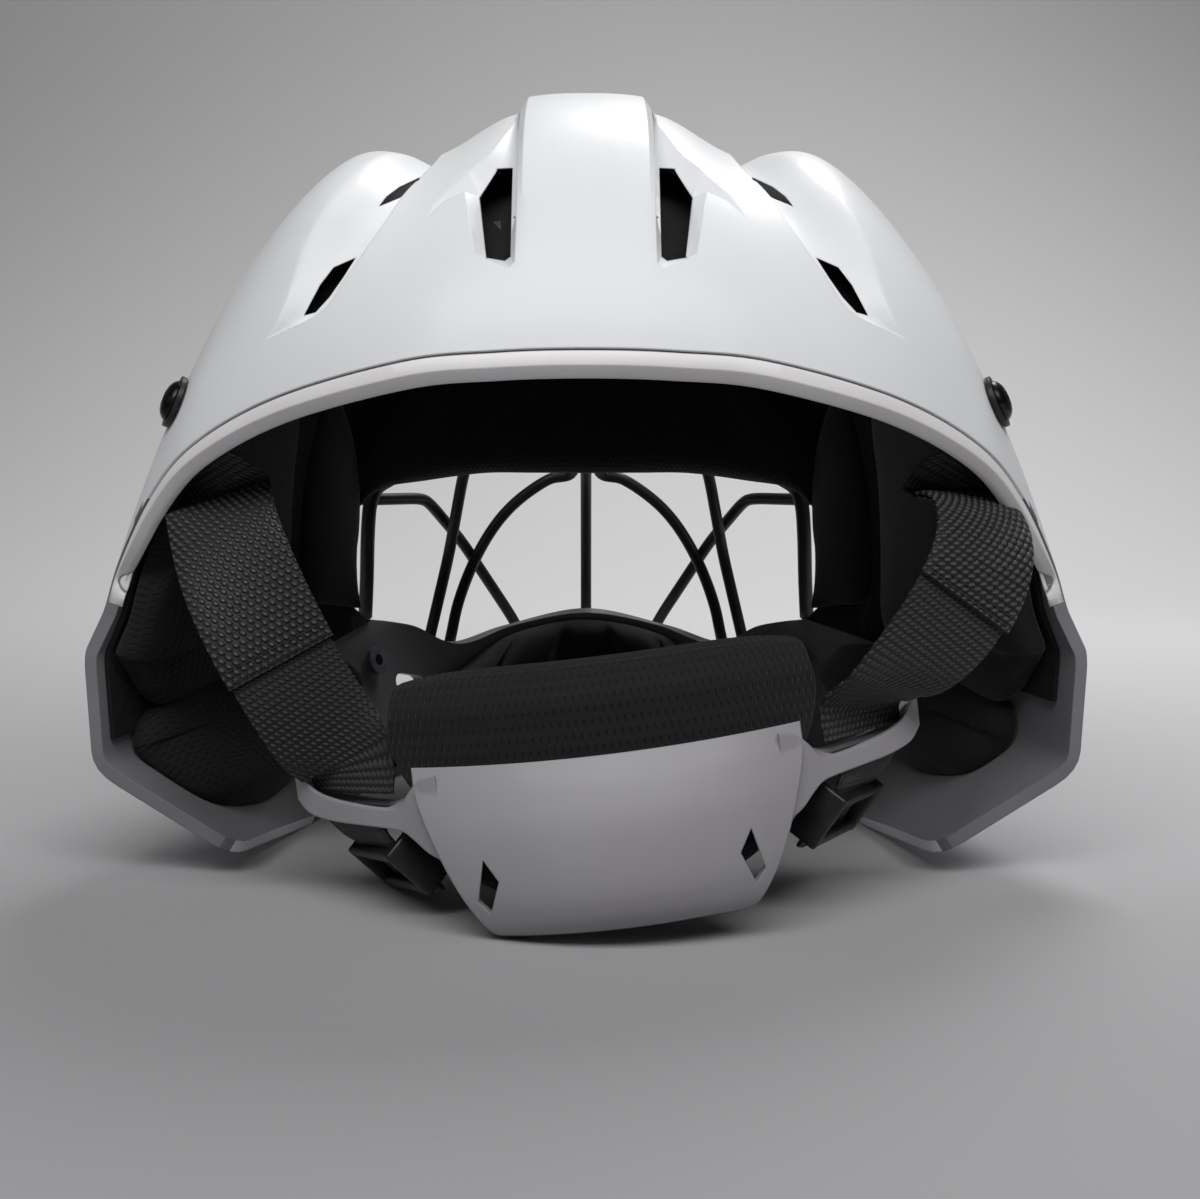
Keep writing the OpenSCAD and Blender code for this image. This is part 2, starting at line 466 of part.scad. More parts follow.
// Ladder buckle: two bars behind the webbing, one in front, between two rails
module buckle() {
    inside = strap_width + 0.2;
    rail = 2.6;
    reach = tail_thick / 2 + 0.4;
    bar_d = 2.8;
    aim(tail_turn + 13.7 * unit(tail_dir), cross(tail_across, tail_dir), tail_across) {
        for (x = [-1, 1]) translate([x * (inside + rail) / 2 - rail / 2, -7.3, -reach - bar_d])
            cube([rail, 15, 2 * reach + 2 * bar_d]);
        for (y = [-5.8, 6.2]) translate([-inside / 2 - 1, y, -reach - bar_d / 2]) rotate([0, 90, 0])
            cylinder(h = inside + 2, d = bar_d);
        translate([-inside / 2 - 1, 0, reach + bar_d / 2]) rotate([0, 90, 0]) cylinder(h = inside + 2, d = bar_d);
    }
}
module buckle_right() color("black") in_place() buckle();
module buckle_left() color("black") in_place() mirror([1, 0, 0]) buckle();

shell();
rim_band();
crown_liner();
forehead_pad();
crown_pad();
temple_pad_left();
temple_pad_right();
side_liner_left();
side_liner_right();
ear_pad_left();
ear_pad_right();
jaw_pad_left();
jaw_pad_right();
chin_pad();
cage_frame();
cage_chin();
cage_center();
cage_arc_left();
cage_arc_right();
cage_upright_left();
cage_upright_right();
cage_diagonal_left();
cage_diagonal_right();
cage_clips();
cage_screws();
cage_nuts();
anchor_screws();
anchor_washers();
anchor_nuts();
strap_end_left();
strap_end_right();
strap_left();
strap_right();
tail_left();
tail_right();
buckle_left();
buckle_right();
back_plate();
back_plate_pad();
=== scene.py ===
"""Hockey-style catcher helmet, seen from behind, dressed round its CAD frame.

Lengths in the classes are millimetres, as on a maker's drawing. The stage is laid out in metres.
"""

import json
import logging
import math
from dataclasses import dataclass
from enum import Enum
from typing import Optional, Sequence

import bmesh
import bpy
import numpy as np
from mathutils import Matrix, Vector

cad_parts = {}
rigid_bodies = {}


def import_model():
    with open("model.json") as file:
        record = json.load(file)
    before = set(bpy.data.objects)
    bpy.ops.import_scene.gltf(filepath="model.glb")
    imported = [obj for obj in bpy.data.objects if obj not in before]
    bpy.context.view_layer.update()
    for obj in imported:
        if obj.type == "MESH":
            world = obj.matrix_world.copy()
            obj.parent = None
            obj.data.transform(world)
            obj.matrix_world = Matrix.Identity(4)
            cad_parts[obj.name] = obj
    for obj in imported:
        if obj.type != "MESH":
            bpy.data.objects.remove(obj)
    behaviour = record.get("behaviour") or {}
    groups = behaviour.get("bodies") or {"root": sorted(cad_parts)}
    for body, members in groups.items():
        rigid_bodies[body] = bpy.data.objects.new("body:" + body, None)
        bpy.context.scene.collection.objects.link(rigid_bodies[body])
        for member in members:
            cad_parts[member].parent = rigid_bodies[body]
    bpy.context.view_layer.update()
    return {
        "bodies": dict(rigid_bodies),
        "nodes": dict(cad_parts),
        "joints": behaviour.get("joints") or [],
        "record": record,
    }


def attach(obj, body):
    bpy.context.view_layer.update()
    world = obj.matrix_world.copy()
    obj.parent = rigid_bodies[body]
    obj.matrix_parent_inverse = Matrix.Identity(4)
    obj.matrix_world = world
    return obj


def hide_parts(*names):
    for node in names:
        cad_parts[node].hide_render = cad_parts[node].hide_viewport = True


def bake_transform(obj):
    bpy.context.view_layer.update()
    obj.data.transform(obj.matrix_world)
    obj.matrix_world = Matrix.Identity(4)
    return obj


Array = np.ndarray
Piece = bpy.types.Object
Tree = bpy.types.NodeTree
Node = bpy.types.Node
Socket = bpy.types.NodeSocket
Pair = tuple[float, float]
Triple = tuple[float, float, float]

LOG = logging.getLogger("helmet")
MM = 0.001
METRE = 1000.0
# Sockets of the node that mixes two colours
MIX_FACTOR, MIX_FIRST, MIX_SECOND, MIX_RESULT = 0, 6, 7, 2


class Body(Enum):
    """The bodies of the frame that pieces ride on."""

    HELMET = "helmet"
    STRAPS = "straps"
    PLATE = "plate"
    BUCKLE_LEFT = "buckle_left_body"
    BUCKLE_RIGHT = "buckle_right_body"


class Side(Enum):
    """Left and right as seen from behind; the value is the sign of X."""

    LEFT = -1
    RIGHT = 1

    @property
    def word(self) -> str:
        """The side's name in piece and node names."""
        return self.name.lower()


def linear(code: str) -> tuple[float, float, float, float]:
    """Turns an sRGB hex colour into a linear one.

    Args:
        code: Colour such as "F2F2F2".

    Returns:
        Red, green, blue and alpha, linear.
    """
    parts = [int(code[i:i + 2], 16) / 255 for i in (0, 2, 4)]
    low = [v / 12.92 if v <= 0.04045 else ((v + 0.055) / 1.055) ** 2.4 for v in parts]
    return (*low, 1.0)


def add_node(tree: Tree, kind: str, values: Optional[dict] = None,
             links: Optional[dict] = None, **settings: object) -> Node:
    """Adds one node with its settings, its socket values and its incoming links.

    Args:
        tree: The node tree.
        kind: Name of the node's type.
        values: Socket name or number to a fixed value.
        links: Socket name or number to the output socket that feeds it.
        settings: Properties of the node itself.

    Returns:
        The new node.
    """
    node = tree.nodes.new(kind)
    for key, value in settings.items():
        setattr(node, key, value)
    for key, value in (values or {}).items():
        node.inputs[key].default_value = value
    for key, socket in (links or {}).items():
        tree.links.new(socket, node.inputs[key])
    return node


def ease(low: float, high: float, value: Array) -> Array:
    """Smooth step from 0 at low to 1 at high.

    Args:
        low: Where it starts.
        high: Where it ends.
        value: The values to step.

    Returns:
        The stepped values.
    """
    u = np.clip((np.asarray(value, float) - low) / (high - low), 0, 1)
    return u * u * (3 - 2 * u)


def unit(v: Array) -> Array:
    """Vectors of length one along the last axis."""
    return v / np.maximum(np.linalg.norm(v, axis=-1, keepdims=True), 1e-12)


def spline(a: Array, b: Array, c: Array, d: Array, u: Array) -> Array:
    """Smooth curve between the middle two of four points, after Catmull and Rom's rule.

    Args:
        a: Point before the stretch.
        b: Start of the stretch.
        c: End of the stretch.
        d: Point after the stretch.
        u: Place on the stretch, from 0 to 1.

    Returns:
        The point at that place.
    """
    return 0.5 * (2 * b + (c - a) * u + (2 * a - 5 * b + 4 * c - d) * u ** 2
                  + (3 * b - a - 3 * c + d) * u ** 3)


def smooth_path(points: Sequence[Sequence[float]], steps: int = 8) -> Array:
    """Rounds a chain of points.

    Args:
        points: The chain, in millimetres.
        steps: Points made for each stretch.

    Returns:
        The finer chain.
    """
    p = np.asarray(points, float)
    p = np.vstack([2 * p[0] - p[1], p, 2 * p[-1] - p[-2]])
    out = []
    for i in range(1, len(p) - 2):
        a, b, c, d = p[i - 1:i + 3]
        for u in np.arange(steps) / steps:
            out.append(spline(a, b, c, d, u))
    out.append(p[-2])
    return np.array(out)


def lengths(points: Array) -> Array:
    """Length along a chain from its start to each of its points."""
    return np.concatenate([[0], np.cumsum(np.linalg.norm(np.diff(points, axis=0), axis=1))])


def linked(name: str, data: bpy.types.ID) -> Piece:
    """Makes an object and links it to the scene.

    Args:
        name: Its name.
        data: Its mesh, lamp or camera.

    Returns:
        The object.
    """
    made = bpy.data.objects.new(name, data)
    bpy.context.scene.collection.objects.link(made)
    return made


def mesh_object(name: str, points: Array, faces: Sequence[Sequence[int]],
                uv: Optional[Array] = None, sharp: float = 32) -> Piece:
    """Makes a shaded mesh object from points in millimetres.

    Args:
        name: Piece name.
        points: Vertex places.
        faces: Vertex numbers of each face.
        uv: Pattern place of each vertex in metres.
        sharp: Edges that turn by more degrees than this stay crisp.

    Returns:
        The object, linked to the scene.
    """
    data = bpy.data.meshes.new(name)
    data.from_pydata((np.asarray(points, float).reshape(-1, 3) * MM).tolist(), [], [list(f) for f in faces])
    data.update()
    if uv is not None:
        layer = data.uv_layers.new(name="pattern")
        flat = np.asarray(uv, float).reshape(-1, 2)
        for loop in data.loops:
            layer.data[loop.index].uv = flat[loop.vertex_index]
    piece = linked(name, data)
    tidy(piece, sharp)
    return piece


def tidy(piece: Piece, sharp: float = 32) -> None:
    """Turns the normals outward and marks crisp edges.

    Args:
        piece: A mesh object.
        sharp: Angle in degrees above which an edge is crisp.
    """
    work = bmesh.new()
    work.from_mesh(piece.data)
    bmesh.ops.recalc_face_normals(work, faces=work.faces)
    for face in work.faces:
        face.smooth = True
    for edge in work.edges:
        edge.smooth = not edge.is_manifold or edge.calc_face_angle(0) < math.radians(sharp)
    work.to_mesh(piece.data)
    work.free()


def apply_modifiers(piece: Piece) -> None:
    """Bakes the piece's modifiers into its mesh.

    Args:
        piece: A mesh object.
    """
    shape = bpy.context.evaluated_depsgraph_get()
    fresh = bpy.data.meshes.new_from_object(piece.evaluated_get(shape))
    piece.modifiers.clear()
    piece.data = fresh


def carve(piece: Piece, cutters: Sequence[Piece], join: bool = False) -> None:
    """Takes closed cutters out of a piece, or joins them to it, and removes them.

    Args:
        piece: The piece that is cut.
        cutters: Closed meshes.
        join: True to add them instead.
    """
    for cutter in cutters:
        step = piece.modifiers.new("carve", "BOOLEAN")
        step.operation = "UNION" if join else "DIFFERENCE"
        step.solver = "EXACT"
        step.object = cutter
        apply_modifiers(piece)
        bpy.data.objects.remove(cutter, do_unlink=True)


def grid_faces(rows: int, columns: int, start: int = 0, ring: bool = False,
               turned: bool = False) -> list[tuple[int, ...]]:
    """Quads of a grid of points, stored row by row.

    Args:
        rows: Number of point rows.
        columns: Points in each row.
        start: Number of the first vertex.
        ring: True where the last row meets the first.
        turned: True to wind the faces the other way.

    Returns:
        The faces.
    """
    faces = []
    for i in range(rows if ring else rows - 1):
        k = (i + 1) % rows
        for j in range(columns - 1):
            quad = (start + i * columns + j, start + k * columns + j,
                    start + k * columns + j + 1, start + i * columns + j + 1)
            faces.append(quad[::-1] if turned else quad)
    return faces


def slab(name: str, outer: Array, inner: Array, ring: bool = False,
         uv: Optional[Array] = None, sharp: float = 32) -> Piece:
    """Closed body between two grids of points.

    Args:
        name: Piece name.
        outer: Grid of the outer face, rows x columns x 3, in millimetres.
        inner: Grid of the inner face.
        ring: True where the last row meets the first.
        uv: Pattern place for each point of one grid, in metres.
        sharp: Crisp edge angle in degrees.

    Returns:
        The piece.
    """
    rows, columns = outer.shape[:2]
    count = rows * columns
    faces = grid_faces(rows, columns, 0, ring) + grid_faces(rows, columns, count, ring, turned=True)
    for i in range(rows if ring else rows - 1):
        k = (i + 1) % rows
        for j in (0, columns - 1):
            faces.append((i * columns + j, k * columns + j, count + k * columns + j, count + i * columns + j))
    if not ring:
        for i in (0, rows - 1):
            for j in range(columns - 1):
                a = i * columns + j
                faces.append((a, a + 1, count + a + 1, count + a))
    both = None if uv is None else np.concatenate([uv.reshape(-1, 2), uv.reshape(-1, 2)])
    return mesh_object(name, np.concatenate([outer.reshape(-1, 3), inner.reshape(-1, 3)]), faces, both, sharp)


def grid_uv(points: Array) -> Array:
    """Pattern places of a grid, from the lengths along its rows and columns.

    Args:
        points: Grid of points in millimetres.

    Returns:
        Two lengths in metres for each point, measured from the middle of the grid.
    """
    across = np.cumsum(np.linalg.norm(np.diff(points, axis=0, prepend=points[:1]), axis=-1), axis=0)
    along = np.cumsum(np.linalg.norm(np.diff(points, axis=1, prepend=points[:, :1]), axis=-1), axis=1)
    middle = along[:, along.shape[1] // 2][:, None]
    return np.stack([across - across[across.shape[0] // 2], along - middle], -1) * MM


def end_faces(lines: int, points: int) -> list[tuple[int, ...]]:
    """Faces over both ends of a tube whose points are stored line by line along it.

    Args:
        lines: Lines round the tube.
        points: Points in each line.

    Returns:
        The two faces.
    """
    return [tuple(i * points + j for i in range(lines)) for j in (0, points - 1)]


def tube_faces(rings: int, sides: int) -> list[tuple[int, ...]]:
    """Quads round a tube whose points are stored ring by ring.

    Args:
        rings: Rings along the tube.
        sides: Points in each ring.

    Returns:
        The faces, without its ends.
    """
    steps = [(j, (j + 1) % sides) for j in range(sides)]
    return [(i * sides + j, i * sides + k, (i + 1) * sides + k, (i + 1) * sides + j)
            for i in range(rings - 1) for j, k in steps]


def between(count: int) -> list[tuple[int, ...]]:
    """Faces of a closed body between two outlines that are stored one after the other.

    Args:
        count: Points in each outline.

    Returns:
        Both end faces and the sides.
    """
    faces = [tuple(range(count)), tuple(range(2 * count - 1, count - 1, -1))]
    return faces + [(i, (i + 1) % count, count + (i + 1) % count, count + i) for i in range(count)]


def join(name: str, pieces: Sequence[Piece]) -> Piece:
    """Puts several meshes into one piece.

    Args:
        name: Name of the joined piece.
        pieces: The meshes; they are used up.

    Returns:
        The joined piece.
    """
    work = bmesh.new()
    for piece in pieces:
        work.from_mesh(piece.data)
        bpy.data.objects.remove(piece, do_unlink=True)
    data = bpy.data.meshes.new(name)
    work.to_mesh(data)
    work.free()
    return linked(name, data)


def dress(piece: Piece, finish: "Finish", body: Optional[Body] = None,
          nodes: Sequence[str] = ()) -> Piece:
    """Gives a piece its finish, its body and the CAD nodes that it stands for.

    Args:
        piece: The piece.
        finish: What it is made of.
        body: The body it rides on.
        nodes: CAD nodes that it replaces.

    Returns:
        The same piece.
    """
    piece.data.materials.clear()
    piece.data.materials.append(finish.material())
    if body is not None:
        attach(piece, body.value)
    if nodes:
        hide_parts(*nodes)
    LOG.info("%s: %d faces", piece.name, len(piece.data.polygons))
    return piece


@dataclass(frozen=True)
class Finish:
    """A material: its common name, colours and surface numbers."""

    name: str
    colour: str
    rough: float = 0.4
    metal: float = 0.0
    ior: float = 1.5

    def material(self) -> bpy.types.Material:
        """Makes the material once and hands it out again after that.

        Returns:
            The material.
        """
        found = bpy.data.materials.get(self.name)
        if found:
            return found
        made = bpy.data.materials.new(self.name)
        made.use_nodes = True
        tree = made.node_tree
        tree.nodes.clear()
        out = add_node(tree, "ShaderNodeOutputMaterial")
        shader = add_node(tree, "ShaderNodeBsdfPrincipled",
                          {"Base Color": linear(self.colour), "Roughness": self.rough,
                           "Metallic": self.metal, "IOR": self.ior})
        tree.links.new(shader.outputs["BSDF"], out.inputs["Surface"])
        self.surface(tree, shader)
        return made

    def surface(self, tree: Tree, shader: Node) -> None:
        """Adds what this finish has beyond one colour.

        Args:
            tree: The material's nodes.
            shader: The main shader.
        """

    def grain(self, tree: Tree, shader: Node, size: float, depth: float,
              base: Optional[Socket] = None) -> None:
        """Fine bumps, such as orange peel or spark erosion from the mould.

        Args:
            tree: The material's nodes.
            shader: The main shader.
            size: Grain size in millimetres.
            depth: Height in millimetres.
            base: A normal that the bumps lie on.
        """
        place = add_node(tree, "ShaderNodeTexCoord")
        noise = add_node(tree, "ShaderNodeTexNoise", {"Scale": METRE / size, "Detail": 2},
                         {"Vector": place.outputs["Object"]})
        bump = add_node(tree, "ShaderNodeBump", {"Strength": 1.0, "Distance": depth * MM},
                        {"Height": noise.outputs["Fac"]})
        if base is not None:
            tree.links.new(base, bump.inputs["Normal"])
        tree.links.new(bump.outputs["Normal"], shader.inputs["Normal"])


@dataclass(frozen=True)
class Grained(Finish):
    """A finish with a slow drift of tone, edges that the tool or the coat rounds, and fine bumps.

    Sizes are in millimetres: patch is the size of the toned patches, edge the radius of the rounding,
    bump and height the width and the height of the bumps.
    """

    tint: str = "8E8788"
    patch: float = 40.0
    drift: Pair = (0.4, 0.6)
    edge: float = 0.0
    bump: float = 0.6
    height: float = 0.02

    def surface(self, tree: Tree, shader: Node) -> None:
        """Adds the patches, the rounded edges and the bumps.

        Args:
            tree: The material's nodes.
            shader: The main shader.
        """
        self.mottle(tree, shader)
        base = None
        if self.edge:
            rounded = add_node(tree, "ShaderNodeBevel", {"Radius": self.edge * MM}, samples=6)
            base = rounded.outputs["Normal"]
        self.grain(tree, shader, self.bump, self.height, base)

    def mottle(self, tree: Tree, shader: Node) -> None:
        """Drifts the colour slowly towards the tint, over the range of noise values in drift.

        Args:
            tree: The material's nodes.
            shader: The main shader.
        """
        place = add_node(tree, "ShaderNodeTexCoord")
        noise = add_node(tree, "ShaderNodeTexNoise", {"Scale": METRE / self.patch, "Detail": 4},
                         {"Vector": place.outputs["Object"]})
        ramp = add_node(tree, "ShaderNodeMapRange", {"From Min": self.drift[0], "From Max": self.drift[1]},
                        {"Value": noise.outputs["Fac"]})
        mix = add_node(tree, "ShaderNodeMix", {MIX_FIRST: linear(self.colour), MIX_SECOND: linear(self.tint)},
                       {MIX_FACTOR: ramp.outputs["Result"]}, data_type="RGBA")
        tree.links.new(mix.outputs[MIX_RESULT], shader.inputs["Base Color"])


@dataclass(frozen=True)
class MouldedAbs(Grained):
    """ABS, injection moulded: soft broad highlights and a trace of orange peel.

    The rough number tells the polished outer face from the matt face that the mould's core leaves.
    """

    tint: str = "E9EBEE"
    patch: float = 60.0
    edge: float = 0.5
    bump: float = 9.0
    height: float = 0.012
    skin: float = 0.06
    skin_rough: float = 0.15
    shine: float = 0.3

    def surface(self, tree: Tree, shader: Node) -> None:
        """Adds the thin glossy skin over the tone and the peel.

        Args:
            tree: The material's nodes.
            shader: The main shader.
        """
        shader.inputs["Coat Weight"].default_value = self.skin
        shader.inputs["Coat Roughness"].default_value = self.skin_rough
        shader.inputs["Specular IOR Level"].default_value = self.shine
        super().surface(tree, shader)


@dataclass(frozen=True)
class MouldedRubber(Grained):
    """TPU edging, injection moulded with a fine spark-eroded grain: satin, slightly soft."""

    edge: float = 0.6


@dataclass(frozen=True)
class MouldedNylon(Grained):
    """Black acetal and nylon fittings, injection moulded with a fine grain: dull sheen on the edges."""

    tint: str = "1C1C1E"
    patch: float = 5.0
    edge: float = 0.35
    bump: float = 0.5
    height: float = 0.03


@dataclass(frozen=True)
class DippedWire(Grained):
    """Steel wire, welded, then dipped in black vinyl: soft highlights, slight runs in the coat."""

    tint: str = "232427"
    patch: float = 14.0
    bump: float = 3.0
    height: float = 0.05


@dataclass(frozen=True)
class BlackenedSteel(Grained):
    """Screw steel, cold headed and black oxide coated: dark metal with a worn glint."""

    tint: str = "3A3A3D"
    patch: float = 3.0
    drift: Pair = (0.52, 0.66)
    edge: float = 0.25
    bump: float = 1.2
    height: float = 0.015


@dataclass(frozen=True)
class ZincSteel(Grained):
    """Zinc-plated steel nuts, turned: grey, slightly blue, with plating clouds."""

    tint: str = "8F949B"
    patch: float = 4.0
    bump: float = 0.8


@dataclass(frozen=True)
class BeadFoam(Finish):
    """Expanded polypropylene liner, steam moulded: charcoal, packed beads of about 3 mm."""

    tint: str = "191A1C"
    bead: float = 3.0
    height: float = 0.4

    def surface(self, tree: Tree, shader: Node) -> None:
        """Beads in colour and bump.

        Args:
            tree: The material's nodes.
            shader: The main shader.
        """
        place = add_node(tree, "ShaderNodeTexCoord")
        cells = add_node(tree, "ShaderNodeTexVoronoi", {"Scale": METRE / self.bead},
                         {"Vector": place.outputs["Object"]})
        mix = add_node(tree, "ShaderNodeMix", {MIX_FIRST: linear(self.colour), MIX_SECOND: linear(self.tint)},
                       {MIX_FACTOR: cells.outputs["Distance"]}, data_type="RGBA")
        tree.links.new(mix.outputs[MIX_RESULT], shader.inputs["Base Color"])
        bump = add_node(tree, "ShaderNodeBump", {"Distance": self.height * MM},
                        {"Height": cells.outputs["Distance"]}, invert=True)
        tree.links.new(bump.outputs["Normal"], shader.inputs["Normal"])


@dataclass(frozen=True)
class Cloth(Finish):
    """Base of the textile finishes: patterns laid out in millimetres on the pattern map."""

    tint: str = "1A1A1C"
    pitch: Pair = (2.6, 3.4)
    depth: float = 0.35
    sheen: float = 0.25
    sheen_rough: float = 0.4
    fuzz: float = 0.5
    fuzz_height: float = 0.08

    def cells(self, tree: Tree, pitch: Pair, shift: float = 0.5) -> tuple[Socket, Socket]:
        """Staggered cells on the pattern map.

        Args:
            tree: The material's nodes.
            pitch: Cell width and height in millimetres.
            shift: How far every other row is set over, in cells.

        Returns:
            Place across and along within the cell, each from -0.5 to 0.5.
        """
        place = add_node(tree, "ShaderNodeUVMap", uv_map="pattern")
        axes = add_node(tree, "ShaderNodeSeparateXYZ", links={0: place.outputs["UV"]})
        row = add_node(tree, "ShaderNodeMath", {1: METRE / pitch[1]}, {0: axes.outputs["Y"]},
                       operation="MULTIPLY")
        number = add_node(tree, "ShaderNodeMath", links={0: row.outputs[0]}, operation="FLOOR")
        odd = add_node(tree, "ShaderNodeMath", {1: 2.0}, {0: number.outputs[0]}, operation="FLOORED_MODULO")
        over = add_node(tree, "ShaderNodeMath", {1: shift}, {0: odd.outputs[0]}, operation="MULTIPLY")
        across = add_node(tree, "ShaderNodeMath", {1: METRE / pitch[0]},
                          {0: axes.outputs["X"], 2: over.outputs[0]}, operation="MULTIPLY_ADD")
        result = []
        for value in (across, row):
            part = add_node(tree, "ShaderNodeMath", links={0: value.outputs[0]}, operation="FRACT")
            centred = add_node(tree, "ShaderNodeMath", {1: 0.5}, {0: part.outputs[0]}, operation="SUBTRACT")
            result.append(centred.outputs[0])
        return result[0], result[1]

    def ovals(self, tree: Tree, across: Socket, along: Socket, size: Pair, edge: Pair) -> Socket:
        """One soft-edged oval in every cell.

        Args:
            tree: The material's nodes.
            across: Place across within the cell.
            along: Place along within the cell.
            size: How much the oval is narrower and shorter than its cell.
            edge: Distances from its middle between which it turns from 0 to 1.

        Returns:
            The value, from 0 to 1.
        """
        wide = add_node(tree, "ShaderNodeMath", {1: size[0]}, {0: across}, operation="MULTIPLY")
        tall = add_node(tree, "ShaderNodeMath", {1: size[1]}, {0: along}, operation="MULTIPLY")
        spot = add_node(tree, "ShaderNodeCombineXYZ", links={0: wide.outputs[0], 1: tall.outputs[0]})
        far = add_node(tree, "ShaderNodeVectorMath", links={0: spot.outputs[0]}, operation="LENGTH")
        step = add_node(tree, "ShaderNodeMapRange", {"From Min": edge[0], "From Max": edge[1]},
                        {"Value": far.outputs["Value"]}, interpolation_type="SMOOTHSTEP")
        return step.outputs["Result"]

    def weave(self, tree: Tree, shader: Node, height: Socket) -> None:
        """Feeds a yarn height to the colour and to the bump: the yarn tops take the lighter tint, a painted
        highlight, and the gaps, holes and grooves the darker colour, painted shade.

        Args:
            tree: The material's nodes.
            shader: The main shader.
            height: 1 on top of the yarn, 0 in the gaps.
        """
        mix = add_node(tree, "ShaderNodeMix", {MIX_FIRST: linear(self.colour), MIX_SECOND: linear(self.tint)},
                       {MIX_FACTOR: height}, data_type="RGBA")
        tree.links.new(mix.outputs[MIX_RESULT], shader.inputs["Base Color"])
        bump = add_node(tree, "ShaderNodeBump", {"Distance": self.depth * MM}, {"Height": height})
        place = add_node(tree, "ShaderNodeTexCoord")
        fuzz = add_node(tree, "ShaderNodeTexNoise", {"Scale": METRE / self.fuzz, "Detail": 3},
                        {"Vector": place.outputs["Object"]})
        fine = add_node(tree, "ShaderNodeBump", {"Distance": self.fuzz_height * MM},
                        {"Height": fuzz.outputs["Fac"], "Normal": bump.outputs["Normal"]})
        tree.links.new(fine.outputs["Normal"], shader.inputs["Normal"])
        shader.inputs["Sheen Weight"].default_value = self.sheen
        shader.inputs["Sheen Roughness"].default_value = self.sheen_rough


@dataclass(frozen=True)
class SpacerMesh(Cloth):
    """Polyester spacer mesh, warp knitted: black, staggered long holes between thick wales."""

    hole: Pair = (3.2, 2.0)
    hole_edge: Pair = (0.35, 0.8)

    def surface(self, tree: Tree, shader: Node) -> None:
        """Long holes, staggered row by row.

        Args:
            tree: The material's nodes.
            shader: The main shader.
        """
        across, along = self.cells(tree, self.pitch)
        self.weave(tree, shader, self.ovals(tree, across, along, self.hole, self.hole_edge))


@dataclass(frozen=True)
class BrushedTricot(Cloth):
    """Nylon tricot on foam, brushed: near black, soft, with faint wales."""

    wale_edge: Pair = (0.5, 0.2)

    def surface(self, tree: Tree, shader: Node) -> None:
        """Faint wales.

        Args:
            tree: The material's nodes.
            shader: The main shader.
        """
        across, _ = self.cells(tree, self.pitch, 0.0)
        near = add_node(tree, "ShaderNodeMath", links={0: across}, operation="ABSOLUTE")
        start, end = self.wale_edge
        yarn = add_node(tree, "ShaderNodeMapRange", {"From Min": start, "From Max": end},
                        {"Value": near.outputs[0]}, interpolation_type="SMOOTHSTEP")
        self.weave(tree, shader, yarn.outputs["Result"])


@dataclass(frozen=True)
class WovenElastic(Cloth):
    """Polyester elastic webbing, woven: raised slanted picks between deep cross grooves."""

    groove: float = 5.5
    groove_edge: Pair = (0.5, 0.4)
    groove_floor: float = 0.25
    slant: float = 0.35
    pick: Pair = (2.4, 1.9)
    pick_edge: Pair = (1.05, 0.25)

    def surface(self, tree: Tree, shader: Node) -> None:
        """Slanted picks, staggered, with a groove every few rows.

        Args:
            tree: The material's nodes.
            shader: The main shader.
        """
        across, along = self.cells(tree, self.pitch)
        lean = add_node(tree, "ShaderNodeMath", {1: self.slant}, {0: along, 2: across},
                        operation="MULTIPLY_ADD")
        pick = self.ovals(tree, lean.outputs[0], along, self.pick, self.pick_edge)
        _, row = self.cells(tree, (self.pitch[0], self.groove), 0.0)
        edge = add_node(tree, "ShaderNodeMath", links={0: row}, operation="ABSOLUTE")
        start, end = self.groove_edge
        rib = add_node(tree, "ShaderNodeMapRange",
                       {"From Min": start, "From Max": end, "To Min": self.groove_floor},
                       {"Value": edge.outputs[0]}, interpolation_type="SMOOTHSTEP")
        height = add_node(tree, "ShaderNodeMath", links={0: pick, 1: rib.outputs["Result"]},
                          operation="MULTIPLY")
        self.weave(tree, shader, height.outputs[0])


SHELL_WHITE = MouldedAbs("abs_moulded_gloss_white", "EAEBED", rough=0.42, tint="E4E6E8")
# The plate is white plastic; its mid-grey colour is painted shade, for the shade it hangs in under the crown
PLATE_WHITE_SHADED = MouldedAbs("abs_moulded_plate_white", "9E9CA0", rough=0.45, tint="98959A", edge=0.7)
# Inside and low rear-facing flare faces of the white shell, in a darker grey: painted shade
SHELL_INSIDE_SHADE = MouldedAbs("abs_moulded_matt_inside", "7E7E82", rough=0.55, tint="76767A")
# The band is a darker pinkish grey; its colour is raised to near white as painted light, for the light its
# downward-facing face does not get
EDGE_GREY_LIT = MouldedRubber("tpu_moulded_edge_grey", "F0EDEE", rough=0.5, tint="EAE6E7")
# In the textiles, colour is the darker one of gaps, holes and grooves and tint the lighter one of yarn tops:
# painted shade and painted highlight
# The holes of such mesh are 1.5 to 3 mm apart, and are drawn so: 1.9 mm across and 3 mm along
MESH_BLACK = SpacerMesh("polyester_spacer_mesh_black", "020202", rough=0.92, tint="0F0F11",
                        pitch=(1.9, 3.0), depth=0.28, sheen=0.08)
# Wales of tricot are about 0.6 mm apart. They are drawn 0.9 mm apart, as finer ones don't show
SKIN_BLACK = BrushedTricot("nylon_tricot_brushed_black", "060607", rough=0.85, tint="0C0C0E",
                           pitch=(0.9, 0.9), depth=0.08)
# Picks of coarse elastic are about 1.2 mm apart across. They are drawn 1.9 mm apart, to show at this distance
ELASTIC_COARSE = WovenElastic("polyester_elastic_woven_coarse", "010102", rough=0.5, tint="4A4A4E",
                              pitch=(1.9, 1.83), depth=0.85, sheen=0.1)
